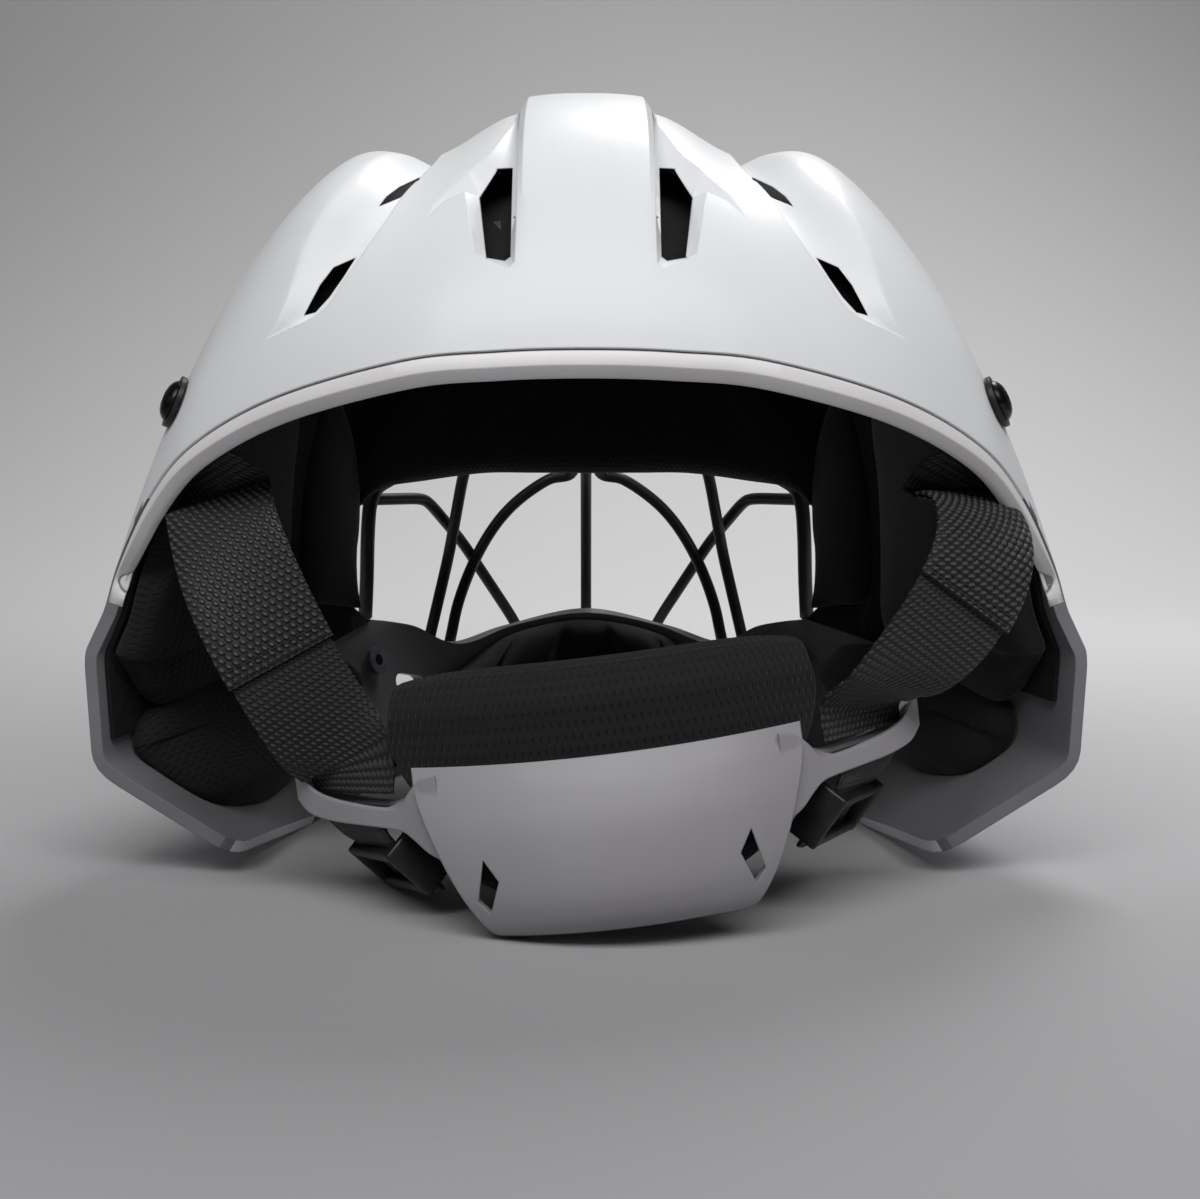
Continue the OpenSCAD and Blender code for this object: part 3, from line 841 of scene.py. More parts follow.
# Picks of fine webbing are about 0.8 mm apart. They are drawn 1.5 mm apart for the same reason
WEBBING_FINE = WovenElastic("nylon_webbing_woven", "020203", rough=0.6, tint="2A2A2E", pitch=(1.5, 1.7),
                            depth=0.5, sheen=0.15, groove=400.0, slant=0.6)
WIRE_BLACK = DippedWire("steel_wire_vinyl_dipped", "17181A", rough=0.42)
FITTING_BLACK = MouldedNylon("nylon_moulded_black", "101012", rough=0.42)
SCREW_BLACK = BlackenedSteel("steel_screw_black_oxide", "18181A", rough=0.3, metal=0.7)
NUT_ZINC = ZincSteel("steel_nut_zinc_plated", "A9ADB3", rough=0.35, metal=1.0)
LINER_FOAM = BeadFoam("epp_liner_bead_foam", "060607", rough=0.95, tint="0B0B0D")
# The twist of sewing thread, about 0.4 mm, is drawn as coarse as the thread itself
THREAD_BLACK = BrushedTricot("polyester_thread_black", "141416", rough=0.7, tint="242427", pitch=(0.8, 0.8))


def mirrored(points: Array, side: Side) -> Array:
    """Points of the right side, or their mirror image.

    Args:
        points: Points of the right side.
        side: The side they are wanted for.

    Returns:
        The points of that side.
    """
    return np.asarray(points, float) * [side.value, 1, 1]


@dataclass(frozen=True)
class HelmetSkin:
    """Outer face of the shell: curves from the face port to the rear edge, side by side round the head.

    A place on it is s, the curve (0 over the brow, 13 under the chin, left side negative), and t,
    from 0 at the port to 1 at the rear edge. The rows port, front, rear and edge hold the control points of
    the curves. The flare's corners, the ridge, the thicker wall under the vents (back) and the strap screw's
    place (anchor) are given in s and t.
    """

    last: int = 13
    corner: float = 0.15
    port: tuple = ((0, 118, 112), (20, 117.5, 112), (40, 114, 111), (60, 107, 108), (76, 97, 102),
                   (86, 88, 92), (88, 85, 76), (88, 87, 62), (85, 93, 55), (80, 101, 51), (68, 115, 49),
                   (53, 131, 41), (33, 155, 45), (0, 165, 51))
    front: tuple = ((0, 122, 234), (20, 121, 231), (39, 118, 216), (56, 112, 220), (77, 104, 197),
                    (94, 90, 161), (103, 74, 120), (105, 62, 80), (101, 60, 58), (97, 62, 40), (90, 88, 22),
                    (72, 115, 14), (45, 150, 16), (0, 176, 30))
    rear: tuple = ((0, -92, 242), (20, -91.5, 239), (40, -90, 225), (60, -87, 229), (79, -80, 204.5),
                   (97, -68, 168), (111, -60, 124), (117, -34, 82), (120, -26, 62), (116, -20, 30),
                   (96, 0, 6), (84, 60, 0.5), (60, 120, 1), (0, 168, 3))
    edge: tuple = ((0, -118, 135), (20, -117, 134.5), (42, -112, 132.7), (73, -100, 125), (96, -87, 114),
                   (110, -75, 101), (121, -65, 84), (126, -62.5, 71), (131.5, -62, 60), (130, -62, 29),
                   (94, -62, 6), (84, 0, 0), (60, 85, 0), (0, 140, 0))
    flare: Pair = (7, 11)
    flare_blend: float = 0.25
    ridge_rise: float = 3.6
    ridge_top: float = 14.5
    ridge_foot: float = 18.2
    ridge_start: Pair = (0.03, 0.16)
    ridge_end: Pair = (0.78, 0.97)
    ridge_last: int = 4
    back_wall: float = 7.2
    back_span: tuple = ((0.55, 0.85), (3.2, 3.6))
    back_reach: tuple = ((0.42, 0.54), (0.95, 0.985))
    anchor: Pair = (4.72, 0.9)

    def _pick(self, row: tuple, k: Array) -> Array:
        """Control points of one row by number, mirrored for the left side.

        Args:
            row: The row of control points.
            k: Their numbers.

        Returns:
            The points.
        """
        k = (np.asarray(k) + self.last) % (2 * self.last) - self.last
        points = np.asarray(row, float)[np.abs(k)].copy()
        points[..., 0] *= np.where(k < 0, -1, 1)
        return points

    def along(self, row: tuple, s: Array) -> Array:
        """Point of one control row at any s.

        Args:
            row: The row of control points.
            s: Place round the head.

        Returns:
            Points in millimetres.
        """
        i = np.floor(s).astype(int)
        u = (s - i)[..., None]
        return spline(*(self._pick(row, i + k) for k in (-1, 0, 1, 2)), u)

    def _straight(self, s: Array) -> Array:
        """Point of the rear edge on a straight line from corner to corner.

        Args:
            s: Place round the head.

        Returns:
            Points in millimetres.
        """
        i = np.floor(s).astype(int)
        a, b = self._pick(self.edge, i), self._pick(self.edge, i + 1)
        return a + (s - i)[..., None] * (b - a)

    def rim(self, s: Array) -> Array:
        """Point of the rear edge: straight with rounded corners down the flare, curved elsewhere.

        Args:
            s: Place round the head.

        Returns:
            Points in millimetres.
        """
        (start, end), a = self.flare, np.abs(s)
        reach = (self.corner * ease(start, start + self.flare_blend, a)
                 * (1 - ease(end - self.flare_blend, end, a)))
        straight = np.mean([self._straight(s + reach * k) for k in np.linspace(-1, 1, 9)], axis=0)
        return np.where(((a >= start) & (a < end))[..., None], straight, self.along(self.edge, s))

    def surface(self, s: Array, t: Array) -> Array:
        """Point of the outer face.

        Args:
            s: Place round the head.
            t: Place from port to rear edge.

        Returns:
            Points in millimetres.
        """
        s, t = np.broadcast_arrays(np.asarray(s, float), np.asarray(t, float))
        m, v = (1 - t)[..., None], t[..., None]
        return (m ** 3 * self.along(self.port, s) + 3 * m * m * v * self.along(self.front, s)
                + 3 * m * v * v * self.along(self.rear, s) + v ** 3 * self.rim(s))

    def outward(self, s: Array, t: Array, e: float = 0.004) -> Array:
        """Outward direction at a place.

        Args:
            s: Place round the head.
            t: Place from port to rear edge.
            e: Half the step over which the slope is taken.

        Returns:
            Directions of length one.
        """
        s, t = np.broadcast_arrays(np.asarray(s, float), np.asarray(t, float))
        return unit(np.cross(self.surface(s, t + e) - self.surface(s, t - e),
                             self.surface(s + e, t) - self.surface(s - e, t)))

    def at(self, s: Array, t: Array, depth: Array = 0.0) -> Array:
        """Point at a depth under the outer face.

        Args:
            s: Place round the head.
            t: Place from port to rear edge.
            depth: Millimetres inward.

        Returns:
            Points in millimetres.
        """
        s, t, depth = np.broadcast_arrays(*(np.asarray(v, float) for v in (s, t, depth)))
        return self.surface(s, t) - depth[..., None] * self.outward(s, t)

    def ridge(self, s: Array, t: Array) -> Array:
        """Height of the raised ridge over the middle of the crown.

        Args:
            s: Place round the head.
            t: Place from port to rear edge.

        Returns:
            Heights in millimetres.
        """
        x = np.abs(self.surface(s, t)[..., 0])
        bevel = 1 - np.clip((x - self.ridge_top) / (self.ridge_foot - self.ridge_top), 0, 1)
        return (self.ridge_rise * bevel * ease(*self.ridge_start, t) * (1 - ease(*self.ridge_end, t))
                * (np.abs(s) < self.ridge_last))

    def ridge_lines(self, t: Array) -> tuple[Array, Array]:
        """Places of the upper and the lower line of the ridge's bevel.

        Args:
            t: Places from port to rear edge.

        Returns:
            The s of both lines, for each t.
        """
        stops = np.linspace(0, 2.2, 120)
        upper, lower = [], []
        for value in np.atleast_1d(t):
            x = np.maximum.accumulate(self.surface(stops, value)[:, 0])
            upper.append(np.interp(self.ridge_top, x, stops))
            lower.append(np.interp(self.ridge_foot, x, stops))
        return np.array(upper), np.array(lower)

    def backing(self, s: Array, t: Array) -> Array:
        """Extra wall on the inside, under the vents.

        Args:
            s: Place round the head.
            t: Place from port to rear edge.

        Returns:
            Thicknesses in millimetres.
        """
        (left, right), (front, rear), a = self.back_span, self.back_reach, np.abs(s)
        return (self.back_wall * ease(*left, a) * (1 - ease(*right, a)) * ease(*front, t)
                * (1 - ease(*rear, t)))

    def screw_seat(self, side: Side) -> tuple[Array, Array]:
        """Place and outward direction of a strap screw on the outer face."""
        return mirrored(self.at(*self.anchor), side), mirrored(self.outward(*self.anchor), side)


@dataclass(frozen=True)
class Groove:
    """A recess in the shell: a soft edge, the foot of its ramp, and a crisp edge, point by point."""

    soft: tuple
    foot: tuple
    crisp: tuple
    depths: tuple
    rounded: bool = True
    lift: float = 0.12
    above: float = 5.0

    def cutter(self, skin: HelmetSkin, side: Side, name: str, rows: int = 72) -> Piece:
        """Closed body that cuts the recess.

        Args:
            skin: The shell's outer face.
            side: Which side it is for.
            name: Name of the cutter.
            rows: Rows along the recess.

        Returns:
            The cutter.
        """
        v = np.linspace(0, 1, rows)
        knots = np.linspace(0, 1, len(self.soft))
        lines = []
        for line in (self.soft, self.foot, self.crisp):
            fine = smooth_path([(a, b, 0) for a, b in line], 6)[:, :2]
            where = np.linspace(0, 1, len(fine))
            lines.append(np.stack([np.interp(v, where, fine[:, k]) for k in (0, 1)], -1))
        deep = np.interp(v, knots, self.depths)
        ramp = np.linspace(0, 1, 9)
        flat = np.linspace(0, 1, 5)[1:]
        places, depth = [], []
        for u in ramp:
            places.append(lines[0] + (lines[1] - lines[0]) * u)
            shape = ease(0, 1, u) if self.rounded else u
            depth.append(-self.lift + (deep + self.lift) * shape)
        for u in flat:
            places.append(lines[1] + (lines[2] - lines[1]) * u)
            depth.append(deep)
        places, depth = np.stack(places), np.stack(depth)
        low = skin.at(places[..., 0], places[..., 1], depth)
        high = skin.at(places[..., 0], places[..., 1], -self.above)
        return slab(name, mirrored(high, side), mirrored(low, side))


def prism(name: str, outline: Array, direction: Array, up: float, down: float) -> Piece:
    """Closed straight body through an outline.

    Args:
        name: Piece name.
        outline: Corner points in millimetres.
        direction: Which way is up.
        up: Length above the outline.
        down: Length under it.

    Returns:
        The body.
    """
    outline, way = np.asarray(outline, float), unit(np.asarray(direction, float))
    points = np.concatenate([outline + up * way, outline - down * way])
    return mesh_object(name, points, between(len(outline)))


def circle(centre: Array, axis: Array, width: float, count: int = 40) -> Array:
    """Points of a circle.

    Args:
        centre: Its centre.
        axis: Its axis.
        width: Its diameter.
        count: Number of points.

    Returns:
        The points, in order.
    """
    axis = unit(np.asarray(axis, float))
    side = unit(np.cross(axis, [0.3, 0.2, 1.0]))
    other = np.cross(axis, side)
    angles = np.linspace(0, 2 * math.pi, count, endpoint=False)[:, None]
    return np.asarray(centre, float) + width / 2 * (np.cos(angles) * side + np.sin(angles) * other)


@dataclass
class Shell:
    """The white moulding, its vents and recesses, and the edge band."""

    skin: HelmetSkin
    wall: float = 3.5
    scoop: Groove = Groove(
        soft=((0.86, 0.66), (0.87, 0.71), (1.00, 0.752), (1.17, 0.789), (1.41, 0.806), (1.43, 0.836),
              (1.38, 0.86), (1.33, 0.89)),
        foot=((0.855, 0.66), (0.86, 0.72), (0.88, 0.78), (0.92, 0.812), (1.08, 0.826), (1.20, 0.845),
              (1.20, 0.87), (1.18, 0.89)),
        crisp=((0.85, 0.66), (0.83, 0.72), (0.81, 0.79), (0.80, 0.825), (0.80, 0.84), (0.80, 0.86),
               (0.80, 0.875), (0.80, 0.89)),
        depths=(0.0, 1.6, 3.6, 5.2, 6.0, 6.0, 5.6, 5.0), rounded=False)
    spike: Groove = Groove(
        soft=((1.86, 0.857), (1.73, 0.832), (1.41, 0.806), (1.17, 0.789)),
        foot=((1.86, 0.8572), (1.66, 0.840), (1.44, 0.837), (1.22, 0.832)),
        crisp=((1.86, 0.8575), (1.66, 0.8405), (1.43, 0.8385), (1.20, 0.834)),
        depths=(0.0, 1.0, 2.2, 3.2), rounded=False)
    trough: Groove = Groove(
        soft=((2.25, 0.52), (2.42, 0.58), (2.60, 0.65), (2.78, 0.745), (2.92, 0.81), (3.02, 0.86),
              (3.05, 0.907), (3.10, 0.93), (3.18, 0.946)),
        foot=((2.02, 0.54), (2.05, 0.59), (2.05, 0.66), (2.12, 0.745), (2.36, 0.80), (2.58, 0.852),
              (2.72, 0.905), (2.86, 0.935), (3.17, 0.947)),
        crisp=((1.98, 0.54), (1.95, 0.59), (1.90, 0.66), (1.92, 0.735), (2.14, 0.803), (2.27, 0.853),
               (2.50, 0.911), (2.70, 0.943), (3.18, 0.948)),
        depths=(0.0, 2.4, 4.4, 6.0, 6.6, 6.6, 6.0, 4.0, 0.0))
    # Window of the crown vent: its outer outline on the skin, and the opening behind it, cut from the rear
    window: tuple = ((0.86, 0.806), (0.80, 0.844), (0.78, 0.939), (0.83, 0.943), (1.28, 0.921), (1.39, 0.857),
                     (1.28, 0.822))
    vent: tuple = ((17.3, -88.6, 179.7), (17.1, -99.0, 168.0), (16.9, -108.9, 155.6), (18.2, -109.6, 154.5),
                   (22.6, -108.4, 155.4), (25.0, -95.0, 171.4), (20.9, -87.3, 179.7))
    slot: tuple = ((65.8, -98.1, 143.8), (64.6, -97.7, 146.2), (62.2, -96.2, 151.2), (59.2, -94.3, 155.6),
                   (53.6, -95.5, 157.8), (56.4, -97.6, 152.8), (59.6, -99.0, 147.9), (62.9, -99.1, 144.4))
    slit: tuple = ((50.3, -82.4, 171.4), (48.7, -79.4, 174.4), (45.8, -76.2, 177.4), (40.5, -74.7, 180.2),
                   (41.5, -76.6, 177.2), (45.4, -79.5, 174.0))
    # How far the cutters of vent, slot and slit stand above their outline and go down from it
    cuts: tuple = ((0.5, 34), (1, 34), (-2, 30))
    # Place from which the vents are cut along the line of sight
    eye: tuple = (0.0, -452.0, 108.5)
    window_lift: float = 2.0
    window_depth: float = 6.0
    screw_hole: float = 4.3
    # Half the width, the front reach and the depth of the block that levels the foot
    foot: tuple = (200, 300, 12)
    # Middle lines of the jaw's oval hole in Y and Z, and its radius
    jaw_slot: tuple = ((103, 29), (111, 27))
    jaw_radius: float = 3.5
    jaw_side: float = 70.0
    # Middle of the head space, and the low edge beside it that the painted shade reaches: the darker grey of
    # faces turned inward, and of low flare faces turned to the rear, stands in for their shade
    head: tuple = (0.0, 20.0, 90.0)
    matt_turn: float = 0.35
    low_turn: float = -0.5
    low_side: float = 90.0
    low_top: float = 100.0
    # Band: where it ends and starts to taper, its height, and its section as share of the height and depth
    band_end: float = 6.75
    band_taper: Pair = (5.2, 0.985)
    band_height: float = 6.0
    band_section: tuple = ((0.07, 4.4), (0.06, 0.65), (0.11, 0.5), (0.52, 0.5), (0.62, 0.65), (0.95, 2.5),
                           (1.0, 3.0), (1.0, 3.9), (0.94, 4.45), (0.5, 4.5))

    def stations(self, t: Array) -> Array:
        """Places s of every curve at each t, with curves along the ridge's lines.

        Args:
            t: The rows.

        Returns:
            Grid of s, curves x rows, all round the head.
        """
        upper, lower = self.skin.ridge_lines(t)
        last = self.skin.ridge_last
        parts = [upper * u for u in np.linspace(0, 1, 9)[:-1]]
        parts += [upper + (lower - upper) * u for u in np.linspace(0, 1, 4)[:-1]]
        parts += [lower + (last - lower) * u for u in np.linspace(0, 1, 49)[:-1]]
        parts += [np.full_like(upper, v) for v in np.linspace(last, self.skin.last, 109)]
        half = np.stack(parts)
        return np.concatenate([-half[1:-1][::-1], half])

    def grid(self, rows: int) -> tuple[Array, Array]:
        """Grid of s and t over the whole shell.

        Args:
            rows: Rows from the port to the rear edge.

        Returns:
            The s and the t of every point.
        """
        t = np.linspace(0, 1, rows)
        s = self.stations(t)
        return s, np.broadcast_to(t, s.shape)

    def build(self) -> None:
        """Makes the shell and the band."""
        s, t = self.grid(90)
        outer = self.skin.at(s, t, -self.skin.ridge(s, t))
        inner = self.skin.at(s, t, self.wall + self.skin.backing(s, t))
        piece = slab("shell_moulding", outer, inner, ring=True, sharp=24)
        carve(piece, [groove.cutter(self.skin, side, f"cut_{number}_{side.word}") for side in Side
                      for number, groove in enumerate((self.scoop, self.spike, self.trough))])
        cutters = []
        for side in Side:
            for number, (outline, cut) in enumerate(zip((self.vent, self.slot, self.slit), self.cuts)):
                points = mirrored(outline, side)
                way = unit(np.array(self.eye) - points.mean(0))
                cutters.append(prism(f"hole_{number}_{side.word}", points, way, *cut))
            cutters += [self.window_cutter(side), self.jaw_vent(side)]
            where, way = self.skin.screw_seat(side)
            cutters.append(prism(f"hole_screw_{side.word}", circle(where, way, self.screw_hole), way, 8, 20))
        across, front, deep = self.foot
        block = [(-across, -across, 0), (across, -across, 0), (across, front, 0), (-across, front, 0)]
        cutters.append(prism("cut_foot", block, np.array([0, 0, 1.0]), 0, deep))
        carve(piece, cutters)
        tidy(piece, 24)
        dress(piece, SHELL_WHITE, Body.HELMET, ["shell"])
        self.dull_inside(piece)
        self.band()

    def dull_inside(self, piece: Piece) -> None:
        """Gives the faces that look into the head space, and low flare faces turned to the rear, the matt
        finish of the mould's core in a darker grey, which is painted shade.

        Args:
            piece: The shell.
        """
        piece.data.materials.append(SHELL_INSIDE_SHADE.material())
        middle = Vector([v * MM for v in self.head])
        for face in piece.data.polygons:
            inward = face.normal.dot(middle - face.center) > self.matt_turn * (middle - face.center).length
            shaded_low_edge = (face.normal.y < self.low_turn and abs(face.center.x) > self.low_side * MM
                        and face.center.z < self.low_top * MM)
            if inward or shaded_low_edge:
                face.material_index = 1

    def window_cutter(self, side: Side) -> Piece:
        """Bevelled rim of the crown vent, from its outline on the skin in to its opening.

        Args:
            side: Which side it is for.

        Returns:
            The cutter.
        """
        place = np.array(self.window)
        outer = mirrored(self.skin.at(place[:, 0], place[:, 1], -self.window_lift), side)
        deep = mirrored(self.vent, side)
        inner = deep - self.window_depth * unit(np.array(self.eye) - deep.mean(0))
        return mesh_object(f"window_{side.word}", np.concatenate([outer, inner]), between(len(outer)))

    def jaw_vent(self, side: Side) -> Piece:
        """Oval hole low in the jaw.

        Args:
            side: Which side it is for.

        Returns:
            The cutter.
        """
        (y0, z0), (y1, z1) = self.jaw_slot
        start = math.atan2(z1 - z0, y1 - y0) + math.pi / 2
        outline = []
        for number, (y, z) in enumerate(self.jaw_slot):
            for k in range(13):
                angle = start + math.pi * (k / 12 + number)
                outline.append((self.jaw_side, y + self.jaw_radius * math.cos(angle),
                                z + self.jaw_radius * math.sin(angle)))
        return prism(f"hole_jaw_{side.word}", mirrored(np.array(outline), side), np.array([1, 0, 0]), 60, 60)

    def band(self) -> None:
        """Overmoulded band under the rear edge: a face, a slanted foot and a rounded lip."""
        skin = self.skin
        stops = np.linspace(-self.band_end, self.band_end, 420)
        speed = 3 * np.linalg.norm(skin.along(skin.edge, stops) - skin.along(skin.rear, stops), axis=-1)
        start, share = self.band_taper
        height = self.band_height * (1 - share * ease(start, self.band_end, np.abs(stops)))
        ring = np.stack([skin.at(stops, 1 + height * h / speed, depth) for h, depth in self.band_section])
        count, columns = ring.shape[:2]
        faces = grid_faces(count, columns, 0, ring=True) + end_faces(count, columns)
        piece = mesh_object("edge_band_moulding", ring, faces, sharp=28)
        dress(piece, EDGE_GREY_LIT, Body.HELMET, ["rim_band"])


@dataclass
class Cushion:
    """A pad on the inside of the shell: patch of the skin, thickness, and how it is sewn.

    Seat is the depth of its back under the outer face. Edge and thick are its height at the seam and in the
    middle. Points are the points across and along its cover.
    """

    node: str
    span: Pair
    reach: Pair
    seat: float
    thick: float
    finish: Finish
    slot: str
    edge: float = 3.0
    corner: float = 0.22
    fullness: float = 3.2
    channels: int = 0
    channel_depth: float = 0.42
    dome: float = 0.55
    fill: float = 0.7
    points: tuple[int, int] = (48, 48)
    mirror: bool = False
    piece: Optional[Piece] = None

    def places(self) -> tuple[Array, Array, Array, Array]:
        """Grid over the pad.

        Returns:
            Places u and v on the pad, and s and t on the skin.
        """
        u, v = np.meshgrid(*(np.linspace(0, 1, count) for count in self.points), indexing="ij")
        (s0, s1), (t0, t1) = self.span, self.reach
        s = (s0 + s1) / 2 + (u - 0.5) * (s1 - s0) * (1 - self.corner * np.abs(2 * v - 1) ** 5)
        t = (t0 + t1) / 2 + (v - 0.5) * (t1 - t0) * (1 - self.corner * np.abs(2 * u - 1) ** 5)
        return u, v, s, t

    def build(self, skin: HelmetSkin) -> Piece:
        """Makes the pad, full-edged, before its cloth pass.

        Args:
            skin: The shell's outer face.

        Returns:
            The piece.
        """
        columns, rows = self.points
        u, v, s, t = self.places()
        extra = np.where(self.seat > 10, skin.backing(s, t), 0.0)
        crown = (1 - np.abs(2 * u - 1) ** self.fullness) * (1 - np.abs(2 * v - 1) ** self.fullness)
        crown = crown ** self.dome
        if self.channels:
            crown = crown * (1 - self.channel_depth * np.abs(np.cos(math.pi * u * self.channels)) ** 10)
        outer = skin.at(s, t, self.seat + extra)
        inner = skin.at(s, t, self.seat + extra + self.edge + (self.thick - self.edge) * crown)
        if self.mirror:
            outer, inner = mirrored(outer, Side.LEFT), mirrored(inner, Side.LEFT)
        self.piece = slab(self.node + "_cover", outer, inner, uv=grid_uv(inner), sharp=75)
        group = self.piece.vertex_groups.new(name="held")
        count = columns * rows
        group.add(list(range(count)), 1.0, "REPLACE")
        rim = [count + i * rows + j for i in range(columns) for j in range(rows)
               if i in (0, columns - 1) or j in (0, rows - 1)]
        group.add(rim, 1.0, "REPLACE")
        if self.channels:
            line = np.abs(np.cos(math.pi * u * self.channels)) > 0.96
            group.add([count + int(k) for k in np.flatnonzero(line.reshape(-1))], 1.0, "REPLACE")
        return self.piece

    def finish_piece(self) -> None:
        """Gives the pad its cover and its place in the part."""
        dress(self.piece, self.finish, Body.HELMET, [self.node])


def inflate(pieces: Sequence[Piece], pressure: float = 4.0, limit: float = 2.6,
            frames: int = 12) -> None:
    """Blows the covers up as cloth, held at their seams, then adds a subdivision.

    Args:
        pieces: Covers with a vertex group "held".
        pressure: Pressure inside.
        limit: How far a point may move, in millimetres.
        frames: Length of the cloth pass.
    """
    before = {}
    for piece in pieces:
        before[piece.name] = [v.co.copy() for v in piece.data.vertices]
        cloth = piece.modifiers.new("cover", "CLOTH")
        cloth.settings.use_pressure = True
        cloth.settings.uniform_pressure_force = pressure
        cloth.settings.vertex_group_mass = "held"
        cloth.settings.pin_stiffness = 1.0
        cloth.settings.quality = 4
        cloth.settings.tension_stiffness = 12
        cloth.settings.effector_weights.gravity = 0
        cloth.collision_settings.use_collision = False
        cloth.collision_settings.use_self_collision = False
        cloth.point_cache.frame_end = frames
    for frame in range(1, frames + 1):
        bpy.context.scene.frame_set(frame)
    for piece in pieces:
        apply_modifiers(piece)
        for vertex, old in zip(piece.data.vertices, before[piece.name]):
            step = vertex.co - old
            if step.length > limit * MM:
                vertex.co = old + step * (limit * MM / step.length)
    bpy.context.scene.frame_set(1)
    for piece in pieces:
        finer = piece.modifiers.new("finer", "SUBSURF")
        finer.levels = finer.render_levels = 1
        apply_modifiers(piece)
        tidy(piece, 75)


@dataclass
class Padding:
    """Liner and pads inside the shell. Depths are measured from the shell's outer face."""

    skin: HelmetSkin
    seat: float = 4.15
    crown_face: float = 3.85
    crown_back: float = 11.75
    crown_share: float = 0.55
    side_face: float = 3.7
    side_back: float = 4.9
    side_core: float = 2.8
    # Places s and t: the crown foam's span, where the side foams start, and where each of them ends
    crown_span: tuple = ((-3.75, 3.75), (0.2, 0.9))
    side_start: Pair = (3.3, 0.02)
    left_end: Pair = (8.75, 0.972)
    right_end: Pair = (8.45, 0.945)

    def pads(self) -> list[Cushion]:
        """Lists the pads.

        Returns:
            The pads, not yet made.
        """
        pads = [
            Cushion("forehead_pad", (-5.45, 5.45), (-0.016, 0.16), self.seat, 15, MESH_BLACK, "spacer_mesh",
                    corner=0.22, fullness=3.4, points=(150, 26)),
            Cushion("crown_pad", (-2.9, 2.9), (0.36, 0.66), 13.9, 12, MESH_BLACK, "spacer_mesh",
                    points=(70, 34)),
            Cushion("chin_pad", (11.1, 14.9), (0.03, 0.86), self.seat, 12, SKIN_BLACK, "pad_skin", channels=5,
                    fullness=4, points=(96, 36))]
        for left in (False, True):
            word = "left" if left else "right"
            cover = MESH_BLACK if left else SKIN_BLACK
            pads += [
                Cushion(f"temple_pad_{word}", (4.9, 7.7), (0.0, 0.31), self.seat, 9, SKIN_BLACK, "pad_skin",
                        corner=0.12, fullness=2.4, mirror=left),
                Cushion(f"ear_pad_{word}", (5.0, 8.62), (0.4, 0.985 if left else 0.945), 6.4, 12, cover,
                        "spacer_mesh", mirror=left),
                Cushion(f"jaw_pad_{word}", (8.4, 10.0 if left else 9.7), (0.26, 0.92 if left else 0.84),
                        self.seat, 15, cover, "pad_skin", mirror=left)]
        return pads

    def build(self) -> None:
        """Makes the liner and the pads."""
        skin, pads = self.skin, self.pads()
        across, along = self.crown_span
        s, t = np.meshgrid(np.linspace(*across, 90), np.linspace(*along, 60), indexing="ij")
        extra = skin.backing(s, t)
        piece = slab("crown_liner_foam", skin.at(s, t, self.crown_face + extra),
                     skin.at(s, t, self.crown_back + extra * self.crown_share), sharp=50)
        dress(piece, LINER_FOAM, Body.HELMET, ["crown_liner"])
        for side in Side:
            (s0, t0), (s1, t1) = self.side_start, self.left_end if side is Side.LEFT else self.right_end
            s, t = np.meshgrid(np.linspace(s0, s1, 110), np.linspace(t0, t1, 80), indexing="ij")
            core = (ease(3.8, 4.2, s) * (1 - ease(8.05, 8.4, s))
                    * ease(0.26, 0.32, t) * (1 - ease(0.72, 0.78, t)))
            piece = slab(f"side_liner_{side.word}_foam", mirrored(skin.at(s, t, self.side_face), side),
                         mirrored(skin.at(s, t, self.side_back + self.side_core * core), side), sharp=50)
            dress(piece, LINER_FOAM, Body.HELMET, [f"side_liner_{side.word}"])
        inflate([pad.build(skin) for pad in pads])
        for pad in pads:
            pad.finish_piece()


def carried(points: Array) -> tuple[Array, Array, Array]:
    """Directions along a chain, with two steady side directions.

    Args:
        points: The chain.

    Returns:
        Direction, side and other side at each point.
    """
    way = unit(np.gradient(points, axis=0))
    side = np.zeros_like(way)
    last = np.array([1, 0.2, 0.1])
    for i, d in enumerate(way):
        last = unit(last - (last @ d) * d)
        side[i] = last
    return way, side, np.cross(way, side)


def rod(name: str, points: Array, widths: Array, sides: int = 20) -> Piece:
    """Round wire whose diameter may change along it, with domed ends.

    Args:
        name: Piece name.
        points: The chain in millimetres.
        widths: Diameter at each point, or one number.
        sides: Points round the wire.

    Returns:
        The piece.
    """
    points = np.asarray(points, float)
    widths = np.broadcast_to(np.asarray(widths, float), (len(points),)).copy()
    start, end = unit(points[0] - points[1]), unit(points[-1] - points[-2])
    head = [points[0] + start * widths[0] / 2 * f for f in (0.32, 0.2)]
    foot = [points[-1] + end * widths[-1] / 2 * f for f in (0.2, 0.32)]
    points = np.vstack([head, points, foot])
    widths = np.concatenate([[widths[0] * 0.5, widths[0] * 0.85], widths,
                             [widths[-1] * 0.85, widths[-1] * 0.5]])
    _, side, other = carried(points)
    angles = np.linspace(0, 2 * math.pi, sides, endpoint=False)
    ring = (points[:, None] + widths[:, None, None] / 2 * (np.cos(angles)[None, :, None] * side[:, None]
                                                          + np.sin(angles)[None, :, None] * other[:, None]))
    faces = tube_faces(len(points), sides)
    faces += [tuple(range(sides)), tuple((len(points) - 1) * sides + j for j in range(sides))]
    return mesh_object(name, ring, faces, sharp=50)


